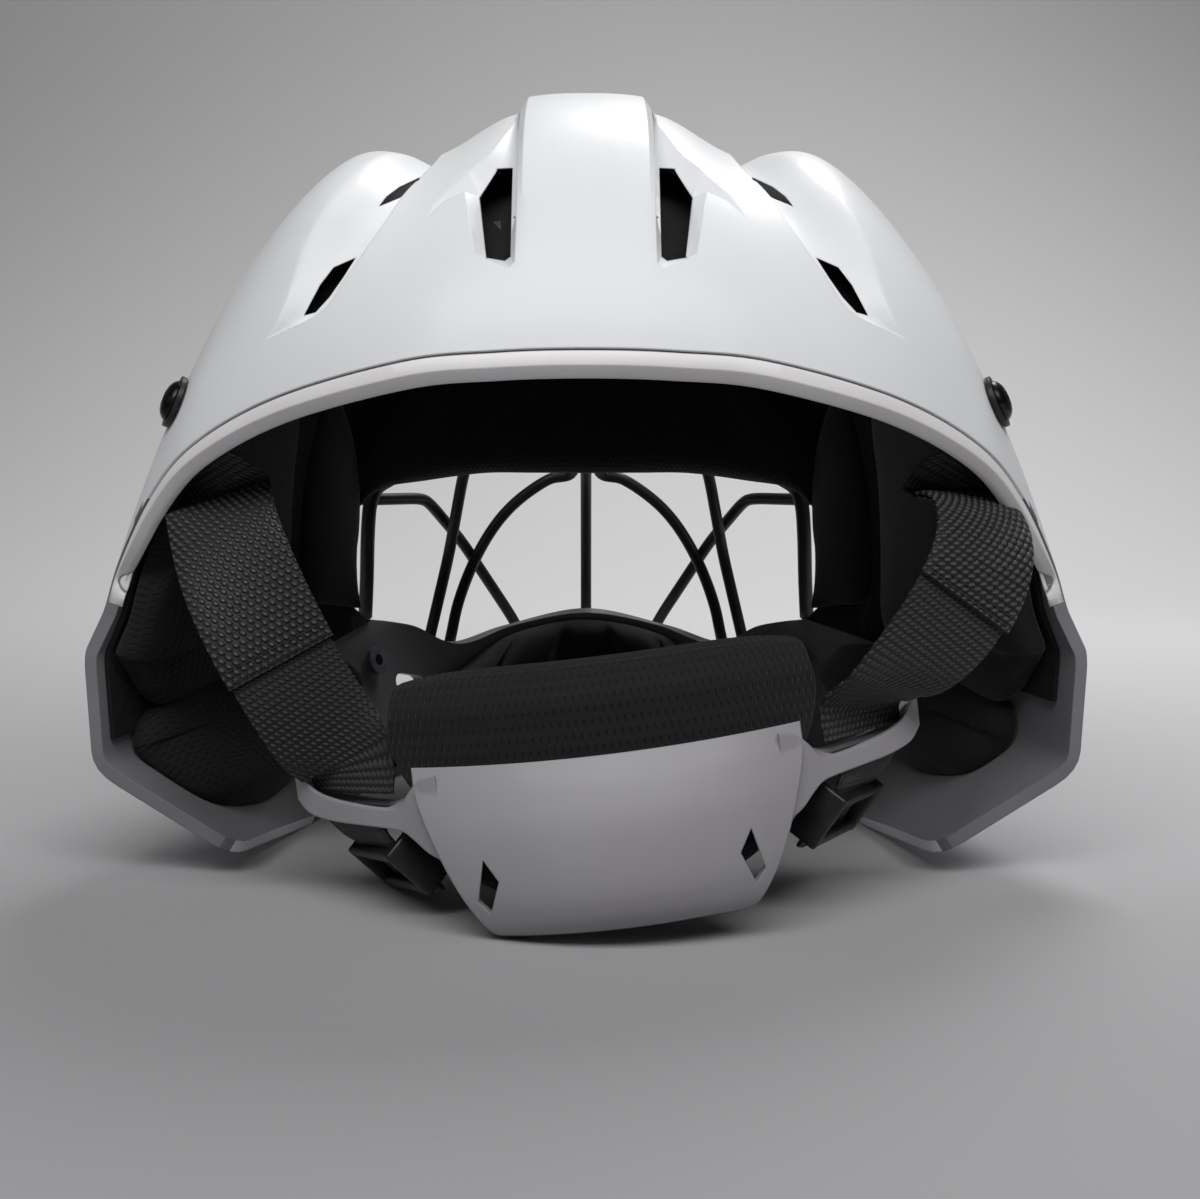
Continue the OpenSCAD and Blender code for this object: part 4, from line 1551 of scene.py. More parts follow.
def bent(points: Sequence[Sequence[float]], radius: float = 8, steps: int = 7) -> Array:
    """Straight stretches with round bends.

    Args:
        points: Corners in millimetres.
        radius: How far from a corner the bend starts.
        steps: Points in each bend.

    Returns:
        The chain.
    """
    p = np.asarray(points, float)
    out = [p[0]]
    for a, b, c in zip(p[:-2], p[1:-1], p[2:]):
        u = b + unit(a - b) * min(radius, 0.45 * np.linalg.norm(a - b))
        v = b + unit(c - b) * min(radius, 0.45 * np.linalg.norm(c - b))
        for k in np.linspace(0, 1, steps):
            out.append((1 - k) ** 2 * u + 2 * k * (1 - k) * b + k * k * v)
    out.append(p[-1])
    return np.array(out)


@dataclass
class Cage:
    """Face cage: bent frame wires on clips, with the inner wires welded to them.

    The cage's face is curved across from front, and leans back above bend. Layer is how far the outer pair of
    wires stands in front of it. Brow is the place t of the frame under the port's rim.
    """

    skin: HelmetSkin
    frame_wire: float = 5.2
    inner_wire: float = 4.5
    layer: float = 4.6
    gap: float = 0.9
    brow: float = 0.045
    front: float = 178.0
    curve: float = 90.0
    bend: float = 60.0
    lean: float = 0.0107
    weld: Pair = (0.22, 2.6)

    def on(self, x: float, z: float, out: float = 0.0) -> list[float]:
        """Point of the cage's face.

        Args:
            x: Sideways place.
            z: Height.
            out: Distance in front of the face.

        Returns:
            The point.
        """
        y = self.front - x * x / self.curve - (self.lean * (z - self.bend) ** 2 if z > self.bend else 0)
        return [x, y + out * math.sqrt(1 + x * x / (self.curve / 2) ** 2), z]

    def off(self, s: float, t: float) -> list[float]:
        """Point beside the shell at which a frame wire runs."""
        return list(self.skin.at(s, t, -(self.frame_wire / 2 + self.gap)))

    def wire(self, node: str, points: Array, width: float, side: Optional[Side] = None,
             welds: bool = True) -> None:
        """Makes one wire, a little thicker where it is welded.

        Args:
            node: The CAD node it stands for.
            points: Its chain on the right side.
            width: Its diameter.
            side: Which side it is for, if there are two.
            welds: True if both ends are welded.
        """
        if side is not None:
            points = mirrored(points, side)
        far = lengths(points)
        near = np.minimum(far, far[-1] - far)
        bead, reach = self.weld
        widths = width * (1 + (bead * np.exp(-(near / reach) ** 2) if welds else 0 * near))
        piece = rod(node + "_wire", points, widths)
        dress(piece, WIRE_BLACK, Body.HELMET, [node])

    def build(self) -> None:
        """Makes all the wires."""
        brow = [self.off(s, self.brow) for s in (0.9, 1.8, 2.35, 2.85, 3.3)]
        brow += [[68.5, 108.5, 107], [72.5, 106, 104.5], [77, 101, 101], [79, 98, 95], [80, 98, 84],
                 [81, 101, 68], [82.2, 104, 53.5]]
        half = np.array(brow)
        frame = np.concatenate([mirrored(half, Side.LEFT)[::-1], [self.off(0, self.brow)], half])
        self.wire("cage_frame", smooth_path(frame, 6), self.frame_wire, welds=False)
        low = [[82.3, 104.6, 51.4], self.off(9.65, 0.09), self.off(10.3, 0.205)]
        low += [self.off(s, t) for s, t in ((10.6, 0.25), (10.9, 0.29), (11.25, 0.31), (11.6, 0.32),
                                            (11.9, 0.32), (12.2, 0.33), (12.5, 0.33), (12.8, 0.33))]
        half = np.array(low)
        chin = np.concatenate([mirrored(half, Side.LEFT), [self.off(13, 0.33)], half[::-1]])
        self.wire("cage_chin", smooth_path(chin, 6), self.frame_wire, welds=False)
        centre = [self.off(0, self.brow), [0, 132, 120]] + [self.on(0, z) for z in (107, 88, 66, 44)]
        self.wire("cage_center", smooth_path(centre + [self.off(13, 0.33)], 8), self.inner_wire)
        arc = [self.off(0.25, self.brow), [5, 132, 120]]
        arc += [self.on(x, z) for x, z in ((5.5, 107), (15, 104), (25.7, 97), (34, 89), (41, 79), (47, 67),
                                           (51.5, 54), (54, 42), (56.5, 30))] + [[57.5, 132.7, 19.4]]
        upright = [self.off(2, self.brow), [43, 122, 118]]
        upright += [self.on(x, z) for x, z in ((46, 110), (48, 104), (54.5, 74), (61, 45), (64, 31))]
        upright.append([65.2, 119.2, 19.2])
        diagonal = [list(self.skin.at(5.4, 0.08, -(self.inner_wire / 2 + 0.4))), [86, 95.5, 97.5],
                    [79.8, 103.2, 97]]
        diagonal += [self.on(x, z, self.layer) for x, z in ((64, 97), (61, 95.5), (50, 79), (31, 46.5),
                                                            (26, 36))] + [[25, 162.3, 25.2]]
        for side in Side:
            self.wire(f"cage_arc_{side.word}", smooth_path(arc, 8), self.inner_wire, side)
            self.wire(f"cage_upright_{side.word}", bent(upright, 7), self.inner_wire, side)
            self.wire(f"cage_diagonal_{side.word}", bent(diagonal, 7), self.inner_wire, side)


@dataclass(frozen=True)
class PlatePlace:
    """Where the back plate hangs: its own level drawing, rolled and set in the opening."""

    roll: float = 7.0
    shift: float = 4.5
    back: float = -117.0
    top: float = 44.0
    curve: float = 0.00587
    slot_x: float = 63.5
    slot_behind: float = 5.7

    def plan(self, x: Array) -> Array:
        """The plate's curve seen from above."""
        return self.curve * x * x

    @property
    def slot_y(self) -> float:
        """Depth of the strap's slot behind the plate's middle."""
        return self.plan(self.slot_x) + self.slot_behind

    @property
    def slot_turn(self) -> float:
        """Turn of the slot seen from above, in radians."""
        return math.atan(2 * self.curve * self.slot_x)

    def in_slot(self, side: Side, height: float) -> Array:
        """Point in the middle of a strap's slot, in its place."""
        return self.placed([side.value * self.slot_x, self.slot_y, height])

    def slot_across(self, side: Side) -> Array:
        """Width direction of a strap in its slot, rolled."""
        return self.turned([side.value * math.cos(self.slot_turn), math.sin(self.slot_turn), 0])

    def turned(self, v: Array) -> Array:
        """A direction of the level drawing, rolled.

        Args:
            v: The direction.

        Returns:
            The rolled direction.
        """
        v = np.asarray(v, float)
        c, s = math.cos(math.radians(self.roll)), math.sin(math.radians(self.roll))
        return np.stack([v[..., 0] * c - v[..., 2] * s, v[..., 1], v[..., 0] * s + v[..., 2] * c], -1)

    def placed(self, p: Array) -> Array:
        """A point of the level drawing in its place."""
        return self.turned(p) + [self.shift, self.back, self.top]


def webbing(name: str, points: Array, widths: Array, width: float, thick: float,
            columns: int = 16, crisp: float = 60) -> Piece:
    """Woven strap with rounded selvages along a chain of points.

    Args:
        name: Piece name.
        points: Chain of its middle, in millimetres.
        widths: Width direction at each point.
        width: Width.
        thick: Thickness.
        columns: Points across one face.
        crisp: Crisp edge angle in degrees.

    Returns:
        The piece.
    """
    points = np.asarray(points, float)
    way = unit(np.gradient(points, axis=0))
    across = unit(widths - np.sum(widths * way, -1, keepdims=True) * way)
    face = unit(np.cross(across, way))
    far = lengths(points)
    u = np.linspace(-1, 1, columns)
    lip = np.sqrt(np.clip(1 - (np.maximum(np.abs(u) - 0.9, 0) / 0.1) ** 2, 0.12, 1))
    shape = [(x * width / 2, thick / 2 * h) for x, h in zip(u, lip)]
    shape += [(x * width / 2, -thick / 2 * h) for x, h in zip(u[::-1], lip[::-1])]
    ring = np.stack([points + across * a + face * b for a, b in shape])
    uv = np.stack([np.stack([np.full_like(far, a), far], -1) for a, _ in shape]) * MM
    count, rows = ring.shape[:2]
    faces = grid_faces(count, rows, 0, ring=True) + end_faces(count, rows)
    return mesh_object(name, ring, faces, uv, sharp=crisp)


@dataclass(frozen=True)
class Bow:
    """How one strap hangs: the two inner control points of its curve, and its width direction halfway.

    The upper point is a place, the lower one an offset from the strap's end at the plate.
    """

    upper: Triple
    lower: Triple
    twist: Triple


@dataclass
class Straps:
    """Elastic straps: a doubled coarse upper part and a finer strap under it that goes to the plate."""

    skin: HelmetSkin
    place: PlatePlace
    exit_at: Triple = (92.5, -72.5, 102.4)
    exit_across: Triple = (0.95, 0.25, 0.0)
    width: float = 28.2
    # Bows as the photograph shows them; the right one stands further out
    right: Bow = Bow((107, -97, 96), (13, -22, 10), (1.4, 0.3, -1.3))
    left: Bow = Bow((-86, -101, 81), (-4.4, -1.2, 6), (0.77, 1.29, 2.64))
    # Places s, t and depth of the end that is screwed to the shell
    lead: tuple = ((4.72, 0.845), (4.72, 0.9), (4.69, 0.95))
    depth: float = 6.1
    slot_depth: float = 7.6
    straight: float = 7.0
    points: int = 70
    # Points of the hanging part that are doubled, half the distance of the layers, and their thicknesses
    doubled: int = 37
    half_gap: float = 0.62
    upper_thick: float = 1.45
    lower_thick: float = 1.25
    lower_narrower: float = 1.4
    # Stretch above and under the exit over which the strap turns from the helmet's body to its own
    turn_over: Pair = (9, 3)
    stitches_in_row: int = 11
    thread: float = 0.5

    def chain(self, side: Side) -> tuple[Array, Array, int]:
        """Middle line and width directions of one strap, from its screwed end to the plate.

        Args:
            side: Which strap.

        Returns:
            Points, width directions, and how many of them lie on the shell.
        """
        k, bow = side.value, self.left if side is Side.LEFT else self.right
        top = [mirrored(self.skin.at(s, t, self.depth), side) for s, t in self.lead]
        top_across = [mirrored(unit(np.cross([0, 0, 1], self.skin.outward(s, t))), side)
                      for s, t in self.lead]
        foot = self.place.in_slot(side, -self.slot_depth)
        up = unit(self.place.in_slot(side, 0) - foot)
        head, low_across = mirrored(self.exit_at, side), self.place.slot_across(side)
        v = np.linspace(0, 1, self.points)[:, None]
        over = foot + up * self.straight
        first, second = np.array(bow.upper, float), over + bow.lower
        w = 1 - v
        hanging = w ** 3 * head + 3 * w * w * v * first + 3 * w * v * v * second + v ** 3 * over
        hanging[-8:] = smooth_path([hanging[-8], hanging[-4], over - up * 1.5, foot], 3)[-8:]
        below = mirrored(self.exit_across, side)
        hang_across = w * w * below + 2 * w * v * k * np.array(bow.twist) + v * v * low_across
        lead = smooth_path(list(top) + [head], 10)[:-1]
        sign = 1 if np.dot(top_across[0], below) > 0 else -1
        ends = np.stack([sign * a for a in top_across] + [below])
        at = np.linspace(0, len(ends) - 1, len(lead) + 1)[:-1]
        lead_across = np.stack([np.interp(at, np.arange(len(ends)), ends[:, c]) for c in range(3)], -1)
        return np.concatenate([lead, hanging]), np.concatenate([lead_across, hang_across]), len(lead)

    def build(self) -> None:
        """Makes both straps in two layers each."""
        for side in Side:
            points, across, lead = self.chain(side)
            way = unit(np.gradient(points, axis=0))
            across = unit(across - np.sum(across * way, -1, keepdims=True) * way)
            face = unit(np.cross(across, way))
            if face[lead + 10, 1] > 0:
                face = -face
            cut = lead + self.doubled
            top = slice(lead + 2, cut)
            upper = webbing(f"strap_upper_{side.word}", points[top] + self.half_gap * face[top], across[top],
                            self.width, self.upper_thick)
            lower = webbing(f"strap_lower_{side.word}", points[2:] - self.half_gap * face[2:], across[2:],
                            self.width - self.lower_narrower, self.lower_thick)
            nodes = [f"strap_{side.word}", f"strap_end_{side.word}"]
            for piece, finish in ((upper, ELASTIC_COARSE), (lower, WEBBING_FINE)):
                dress(piece, finish, None, nodes)
                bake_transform(piece)
            self.stitches(side, points, across, face, cut)

    def stitches(self, side: Side, points: Array, across: Array, face: Array, cut: int) -> None:
        """Two rows of thread where the doubled part ends.

        Args:
            side: Which strap.
            points: The strap's middle line.
            across: Its width directions.
            face: Its outward directions.
            cut: Point at which the doubled part ends.
        """
        threads = []
        for number, k in enumerate((cut - 2, cut - 4)):
            for i in range(self.stitches_in_row):
                u0, u1 = (-0.45 + 0.9 * (i + share) / self.stitches_in_row for share in (0.12, 0.88))
                line = [points[k] + across[k] * self.width * (u0 + (u1 - u0) * f)
                        + face[k] * (1.3 + 0.28 * math.sin(math.pi * f)) for f in np.linspace(0, 1, 5)]
                threads.append(rod(f"thread_{number}_{i}", np.array(line), self.thread, 6))
        piece = join(f"strap_stitches_{side.word}", threads)
        dress(piece, THREAD_BLACK, Body.STRAPS, [])


@dataclass
class Screws:
    """The two strap screws: domed heads with a socket, and their shanks."""

    skin: HelmetSkin
    # Radius and height over the shell's face, from the socket's floor over the dome and down the shank
    profile: tuple = ((0, 2.2), (1.75, 2.2), (1.95, 2.4), (1.95, 3.6), (2.2, 3.8), (3.1, 3.6), (4.0, 3.2),
                      (4.8, 2.6), (5.25, 1.95), (5.3, 1.7), (5.15, 1.55), (2.05, 1.5), (2.0, -9.9),
                      (1.7, -10.2), (0, -10.2))
    # Radius and heights of the socket, which has six soft corners
    socket: Triple = (1.95, 2.0, 3.7)
    sides: int = 48

    def build(self) -> None:
        """Makes the screws."""
        piece = join("strap_screws", [self.screw(f"strap_screw_{side.word}", *self.skin.screw_seat(side))
                                      for side in Side])
        tidy(piece, 30)
        dress(piece, SCREW_BLACK, Body.HELMET, ["anchor_screws"])

    def screw(self, name: str, where: Array, way: Array) -> Piece:
        """One screw, turned about its axis.

        Args:
            name: Piece name.
            where: Place on the shell's outer face.
            way: Outward direction.

        Returns:
            The screw.
        """
        side = unit(np.cross(way, [0.2, 0.1, 1.0]))
        other = np.cross(way, side)
        turns = np.linspace(0, 2 * math.pi, self.sides, endpoint=False)
        widest, floor, mouth = self.socket
        rings = []
        for r, h in self.profile:
            radii = np.full_like(turns, r)
            if floor < h < mouth and r <= widest:
                radii = r * (0.93 + 0.07 * np.cos(6 * turns))
            rings.append(where + h * way + radii[:, None] * (np.cos(turns)[:, None] * side
                                                             + np.sin(turns)[:, None] * other))
        piece = mesh_object(name, np.stack(rings), tube_faces(len(self.profile), self.sides), sharp=30)
        work = bmesh.new()
        work.from_mesh(piece.data)
        bmesh.ops.remove_doubles(work, verts=work.verts, dist=1e-6)
        work.to_mesh(piece.data)
        work.free()
        return piece


def rounded_box(name: str, size: Sequence[float], soft: float) -> Piece:
    """Block with rounded edges about the origin, in millimetres.

    Args:
        name: Piece name.
        size: Its three lengths.
        soft: Edge radius.

    Returns:
        The piece.
    """
    work = bmesh.new()
    bmesh.ops.create_cube(work, size=1.0)
    for vertex in work.verts:
        vertex.co = Vector([c * s * MM for c, s in zip(vertex.co, size)])
    bmesh.ops.bevel(work, geom=work.edges[:], offset=soft * MM, segments=3, profile=0.5, affect="EDGES")
    data = bpy.data.meshes.new(name)
    work.to_mesh(data)
    work.free()
    return linked(name, data)


def place_piece(piece: Piece, origin: Array, x: Array, y: Array, z: Array) -> None:
    """Moves a piece's mesh to an origin and three directions.

    Args:
        piece: The piece.
        origin: Where its origin goes, in millimetres.
        x: Where its X axis points.
        y: Where its Y axis points.
        z: Where its Z axis points.
    """
    turn = Matrix(np.column_stack([x, y, z]).tolist()).to_4x4()
    piece.data.transform(Matrix.Translation(Vector(np.asarray(origin, float) * MM)) @ turn)


@dataclass
class BackPlate:
    """The white back plate, its pad, the strap tails and the buckles.

    Everything is drawn level and then set in its place. Bowl rows give depth, height and half width. Wing
    rows give X, front, thickness, top and foot. Pad rows give depth, height and share of the half width.
    """

    place: PlatePlace
    wall: float = 3.0
    bowl: tuple = ((0, 0, 46), (-4, -7, 45.5), (-7.5, -15, 43), (-9, -24, 39.5), (-8.5, -32, 35.5),
                   (-5, -38.5, 31), (3, -41.3, 27))
    bowl_curl: float = 0.35
    wings: tuple = ((40, -2.6, 3.2, -1.5, -22), (44, -2.2, 3.2, -2.5, -20), (47.5, -1.4, 4, -6, -17),
                    (50.5, -0.6, 11.4, -9.6, -15.2), (56, 0, 11.4, -10, -14.6), (62, 0, 11.4, -9.4, -14.2),
                    (68, 0, 11.4, -8.4, -13.8), (73, 0, 11.4, -6.6, -13), (76, 0, 11.4, -3.2, -11.8),
                    (78.5, 0, 11.4, -0.6, -9))
    vent: tuple = ((1.5, -25.5), (4.6, -20.5), (7, -30.5), (4.5, -33.5))
    vent_x: float = 26.0
    slot: Triple = (28.0, 5.0, 40)
    slot_z: float = -10.0
    pad_rows: tuple = ((14.5, 19.5, 0.93), (9, 18.2, 0.97), (3.4, 13, 0.99), (2.9, 6, 1), (1.9, -4, 0.94),
                       (-1.6, -12, 0.8), (-3.6, -20, 0.74), (-2.4, -27, 0.66), (3.2, -32, 0.54))
    pad_half: float = 52.0
    pad_seat: float = 2.8
    pad_edge: float = 3.0
    pad_crown: float = 11.0
    tail_way: Triple = (-0.6, 0.2, -0.77)
    tail_size: Pair = (26.4, 1.8)
    tail_start: float = -15.5
    tail_lean: float = 0.45
    # Buckle: room between its rails, rail width and length, half the room between its bars, and bar diameter
    inside: float = 27.2
    rail: Pair = (2.6, 15.0)
    reach: float = 1.3
    bar: float = 2.8
    buckle_at: float = 13.7
    pad_piece: Optional[Piece] = None

    def bowl_grid(self, columns: int = 64, steps: int = 8) -> Array:
        """Outer face of the bowl, level.

        Args:
            columns: Points across.
            steps: Rows between two rows of the drawing.

        Returns:
            Grid of points.
        """
        rows = smooth_path(self.bowl, steps)
        u = np.linspace(-1, 1, columns)
        x = u[:, None] * rows[None, :, 2]
        return np.stack([x, self.place.plan(x) + rows[None, :, 0] * (1 - self.bowl_curl * u[:, None] ** 2),
                         np.broadcast_to(rows[None, :, 1], x.shape)], -1)

    def build(self) -> None:
        """Makes plate, pad, tails and buckles."""
        outer = self.bowl_grid()
        normal = unit(np.cross(np.gradient(outer, axis=1), np.gradient(outer, axis=0)))
        if normal[32, 20, 1] > 0:
            normal = -normal
        piece = slab("back_plate_moulding", outer, outer - self.wall * normal)
        carve(piece, [self.wing(side) for side in Side], join=True)
        cutters = []
        for side in Side:
            turn = self.place.slot_turn
            block = rounded_box(f"slot_{side.word}", self.slot, 0.6)
            x = np.array([math.cos(turn), side.value * math.sin(turn), 0])
            y = np.array([-side.value * math.sin(turn), math.cos(turn), 0])
            place_piece(block, [side.value * self.place.slot_x, self.place.slot_y, self.slot_z], x, y,
                        np.array([0, 0, 1.0]))
            corners = np.array([(self.vent_x + a, 0, b) for a, b in self.vent], float)
            cutters += [block, prism(f"vent_{side.word}", mirrored(corners, side), np.array([0, 1, 0]),
                                     35, 30)]
        carve(piece, cutters)
        place_piece(piece, self.place.placed([0, 0, 0]), *(self.place.turned(v) for v in np.eye(3)))
        tidy(piece, 26)
        dress(piece, PLATE_WHITE_SHADED, Body.PLATE, ["back_plate"])
        self.pad()
        for side in Side:
            self.tail(side)
            self.buckle(side)

    def wing(self, side: Side) -> Piece:
        """Ear of the plate that holds the strap's slot, level.

        Args:
            side: Which ear.

        Returns:
            The ear.
        """
        rows = smooth_path(self.wings, 5)
        top, low = rows[:, 3], rows[:, 4]
        height = top[:, None] + (low - top)[:, None] * np.linspace(0, 1, 7)
        x = np.broadcast_to(rows[:, 0][:, None], height.shape)
        front = np.stack([x, self.place.plan(x) + rows[:, 1][:, None], height], -1)
        back = front + np.stack([0 * x, 0 * x + rows[:, 2][:, None], 0 * x], -1)
        return slab(f"wing_{side.word}", mirrored(front, side), mirrored(back, side))

    def pad(self) -> None:
        """Mesh pad inside the plate."""
        rows = smooth_path(np.array(self.pad_rows), 6)
        u = np.linspace(-1, 1, 80)[:, None]
        v = np.linspace(0, 1, len(rows))[None]
        x = u * self.pad_half * rows[None, :, 2]
        drop = 2 * np.abs(u) ** 5 * (1 - ease(0.2, 0.45, v))
        back = np.stack([x, self.place.plan(x) + rows[None, :, 0] * (1 - 0.2 * u * u) + self.pad_seat,
                         rows[None, :, 1] - drop], -1)
        swell = np.sin(math.pi * np.clip(v * 0.92 + 0.04, 0, 1))
        deep = self.pad_edge + self.pad_crown * (1 - np.abs(u) ** 5) * swell
        front = back + np.stack([0 * x, deep, 0.12 * deep], -1)
        self.pad_piece = slab("back_plate_pad_cover", self.place.placed(back), self.place.placed(front),
                              uv=grid_uv(back), sharp=75)
        group = self.pad_piece.vertex_groups.new(name="held")
        group.add(list(range(x.size)), 1.0, "REPLACE")

    def finish_pad(self) -> None:
        """Gives the pad its cover."""
        dress(self.pad_piece, MESH_BLACK, Body.PLATE, ["back_plate_pad"])

    def tail_frame(self, side: Side) -> tuple[Array, Array, Array, Array]:
        """Where a tail starts and how it lies, in place.

        Args:
            side: Which tail.

        Returns:
            Start, direction, width direction and outward direction.
        """
        way = unit(np.array(self.tail_way))
        turn = self.place.slot_turn
        plane = np.cross(way, [math.cos(turn), math.sin(turn), self.tail_lean])
        across = unit(np.cross(plane, way))
        ways = (self.place.turned(mirrored(v, side)) for v in (way, across, unit(np.cross(across, way))))
        return self.place.in_slot(side, self.tail_start), *ways

    def tail(self, side: Side) -> None:
        """Single strap end that leaves the slot and runs through the buckle.

        Args:
            side: Which tail.
        """
        start, way, across, _ = self.tail_frame(side)
        top, bend = (self.place.in_slot(side, z) for z in (-10.3, -13.1))
        first = self.place.slot_across(side)
        chain = np.concatenate([smooth_path([top, bend, start + 2.5 * way, start + 9 * way], 8),
                                start + np.linspace(9.6, 24, 24)[:, None] * way])
        mix = np.clip(np.linspace(0, 1.9, len(chain)), 0, 1)[:, None]
        piece = webbing(f"strap_tail_{side.word}", chain, first * (1 - mix) + across * mix, *self.tail_size)
        dress(piece, WEBBING_FINE, Body.PLATE, [f"tail_{side.word}"])

    def buckle(self, side: Side) -> None:
        """Ladder buckle: two grooved rails and three bars.

        Args:
            side: Which buckle.
        """
        start, way, across, face = self.tail_frame(side)
        body = Body.BUCKLE_RIGHT if side is Side.RIGHT else Body.BUCKLE_LEFT
        inside, reach, bar, (rail, long) = self.inside, self.reach, self.bar, self.rail
        parts = []
        for k in (-1, 1):
            block = rounded_box(f"rail_{side.word}_{k}", (rail, long, 2 * reach + 2 * bar), 0.7)
            place_piece(block, [k * (inside + rail) / 2, 0.2, 0], *np.eye(3))
            parts.append(block)
        for y, z in ((-5.8, -reach - bar / 2), (6.2, -reach - bar / 2), (0, reach + bar / 2)):
            line = np.array([(x, y, z) for x in np.linspace(-inside / 2 - 1, inside / 2 + 1, 9)])
            parts.append(rod(f"bar_{side.word}_{y}", line, bar + (0.8 if z > 0 else 0.2), 20))
        piece = join(f"ladder_buckle_{side.word}", parts)
        place_piece(piece, start + self.buckle_at * way, across, way, face)
        tidy(piece, 32)
        dress(piece, FITTING_BLACK, body, [f"buckle_{side.word}"])


@dataclass(frozen=True)
class Backdrop(Finish):
    """Seamless grey paper: matt, with painted shade that makes it darker towards the camera and towards the
    top, and lighter to the right.

    Its falls of painted shade are in metres: the floor's from near to far, leaning with X, and the wall's
    upward.
    """

    # Colours of the paper near the camera and high on the wall, darker than its own: painted shade
    near: str = "9A9A9C"
    high: str = "DADADB"
    floor_fall: Pair = (-0.32, 0.75)
    floor_lean: float = 0.35
    wall_fall: Pair = (0.0, 0.75)

    def surface(self, tree: Tree, shader: Node) -> None:
        """Falls of painted shade along the floor, up the wall and from left to right, and the paper's tooth.

        Args:
            tree: The material's nodes.
            shader: The main shader.
        """
        place = add_node(tree, "ShaderNodeTexCoord")
        axes = add_node(tree, "ShaderNodeSeparateXYZ", links={0: place.outputs["Object"]})
        lean = add_node(tree, "ShaderNodeMath", {1: self.floor_lean},
                        {0: axes.outputs["X"], 2: axes.outputs["Y"]}, operation="MULTIPLY_ADD")
        falls = []
        for (start, end), value in ((self.floor_fall, lean.outputs[0]), (self.wall_fall, axes.outputs["Z"])):
            fall = add_node(tree, "ShaderNodeMapRange", {"From Min": start, "From Max": end},
                            {"Value": value}, interpolation_type="SMOOTHSTEP")
            falls.append(fall.outputs["Result"])
        first = add_node(tree, "ShaderNodeMix",
                         {MIX_FIRST: linear(self.near), MIX_SECOND: linear(self.colour)},
                         {MIX_FACTOR: falls[0]}, data_type="RGBA")
        second = add_node(tree, "ShaderNodeMix", {MIX_SECOND: linear(self.high)},
                          {MIX_FACTOR: falls[1], MIX_FIRST: first.outputs[MIX_RESULT]}, data_type="RGBA")
        tree.links.new(second.outputs[MIX_RESULT], shader.inputs["Base Color"])
        self.grain(tree, shader, 1.5, 0.08)


@dataclass(frozen=True)
class Lamp:
    """A rectangular lamp: its place and its sides in metres, its turn in degrees and its power in watts."""

    name: str
    place: Triple
    turn: Triple
    size: Pair
    power: float

    def hang(self) -> None:
        """Adds the lamp to the scene."""
        data = bpy.data.lights.new(self.name, "AREA")
        data.shape = "RECTANGLE"
        data.size, data.size_y = self.size
        data.energy = self.power
        lamp = linked(self.name, data)
        lamp.location = self.place
        lamp.rotation_euler = [math.radians(v) for v in self.turn]


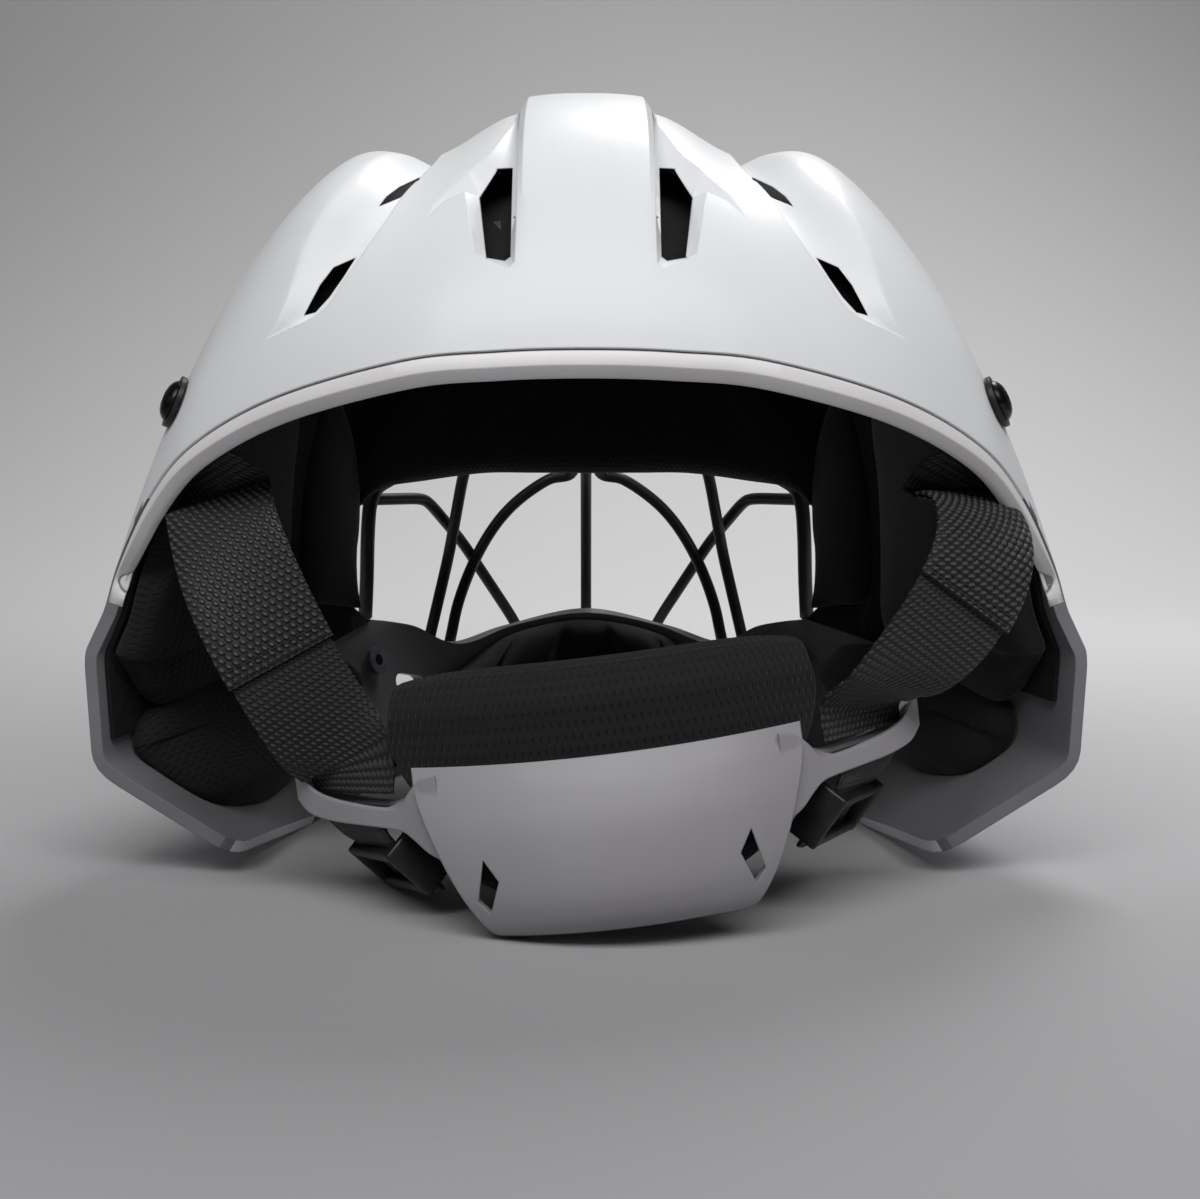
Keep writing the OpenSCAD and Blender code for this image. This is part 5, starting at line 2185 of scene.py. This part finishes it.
@dataclass
class Stage:
    """Backdrop, lamps and camera. Lengths are in metres, angles in degrees, the lens in millimetres."""

    paper: Backdrop = Backdrop("paper_seamless_grey", "EDEDEE", rough=0.9)
    paper_half: float = 4.0
    paper_near: float = -3.0
    paper_bend: Pair = (0.7, 0.9)
    paper_top: float = 3.2
    # The key lamp hangs high behind the helmet. The one in front brings out the near rim and the band
    lamps: tuple[Lamp, ...] = (Lamp("lamp_key", (0.34, 0.75, 1.35), (-24.0, 12.0, 0.0), (0.7, 0.6), 10.0),
                               Lamp("lamp_front", (0.02, -0.82, 1.02), (41.0, 1.0, 0.0), (1.6, 0.5), 14.5))
    room_colour: str = "B8BABD"
    room_light: float = 0.07
    camera_at: Triple = (0.0, -0.452, 0.1085)
    camera_pitch: float = 85.0
    lens: float = 45.0
    sensor: float = 36.0
    shift: float = 0.01167
    nearest: float = 0.01

    def build(self) -> None:
        """Makes the stage."""
        self.sweep()
        for lamp in self.lamps:
            lamp.hang()
        world = bpy.data.worlds.new("room")
        bpy.context.scene.world = world
        world.use_nodes = True
        shade = world.node_tree.nodes["Background"]
        shade.inputs["Color"].default_value = linear(self.room_colour)
        shade.inputs["Strength"].default_value = self.room_light
        self.camera()

    def sweep(self) -> None:
        """Paper that runs along the floor and curves up behind."""
        start, radius = self.paper_bend
        profile = [(self.paper_near, 0.0), (0.0, 0.0), (start, 0.0)]
        profile += [(start + radius * math.sin(a), radius * (1 - math.cos(a)))
                    for a in np.linspace(0.08, math.pi / 2, 24)]
        profile += [(start + radius, self.paper_top)]
        rows = np.array([[(x, y, z) for y, z in profile]
                         for x in np.linspace(-self.paper_half, self.paper_half, 3)]) / MM
        piece = mesh_object("paper_sweep", rows, grid_faces(*rows.shape[:2]), sharp=80)
        piece.data.materials.append(self.paper.material())

    def camera(self) -> None:
        """Sets the camera behind the helmet, level with its opening."""
        data = bpy.data.cameras.new("photo_camera")
        data.lens = self.lens
        data.sensor_width = self.sensor
        data.shift_x = self.shift
        data.clip_start = self.nearest
        camera = linked("photo_camera", data)
        camera.location = self.camera_at
        camera.rotation_euler = (math.radians(self.camera_pitch), 0, 0)
        bpy.context.scene.camera = camera
        bpy.context.scene.view_settings.view_transform = "Standard"


def dress_kept_nodes() -> None:
    """Gives the CAD nodes that stay their materials."""
    finishes = {"cage_clips": FITTING_BLACK, "cage_screws": SCREW_BLACK, "cage_nuts": NUT_ZINC,
                "anchor_washers": FITTING_BLACK, "anchor_nuts": NUT_ZINC}
    for node, finish in finishes.items():
        for piece in bpy.data.objects:
            if piece.type == "MESH" and piece.name.split(".")[0] == node:
                piece.data.materials.clear()
                piece.data.materials.append(finish.material())


def main() -> None:
    """Loads the frame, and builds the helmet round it."""
    logging.basicConfig(level=logging.INFO, format="%(name)s: %(message)s")
    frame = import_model()
    skin = HelmetSkin()
    place = PlatePlace()
    Shell(skin).build()
    plate = BackPlate(place)
    plate.build()
    Padding(skin).build()
    inflate([plate.pad_piece])
    plate.finish_pad()
    Cage(skin).build()
    Straps(skin, place).build()
    Screws(skin).build()
    dress_kept_nodes()
    Stage().build()


if __name__ == "__main__":
    main()
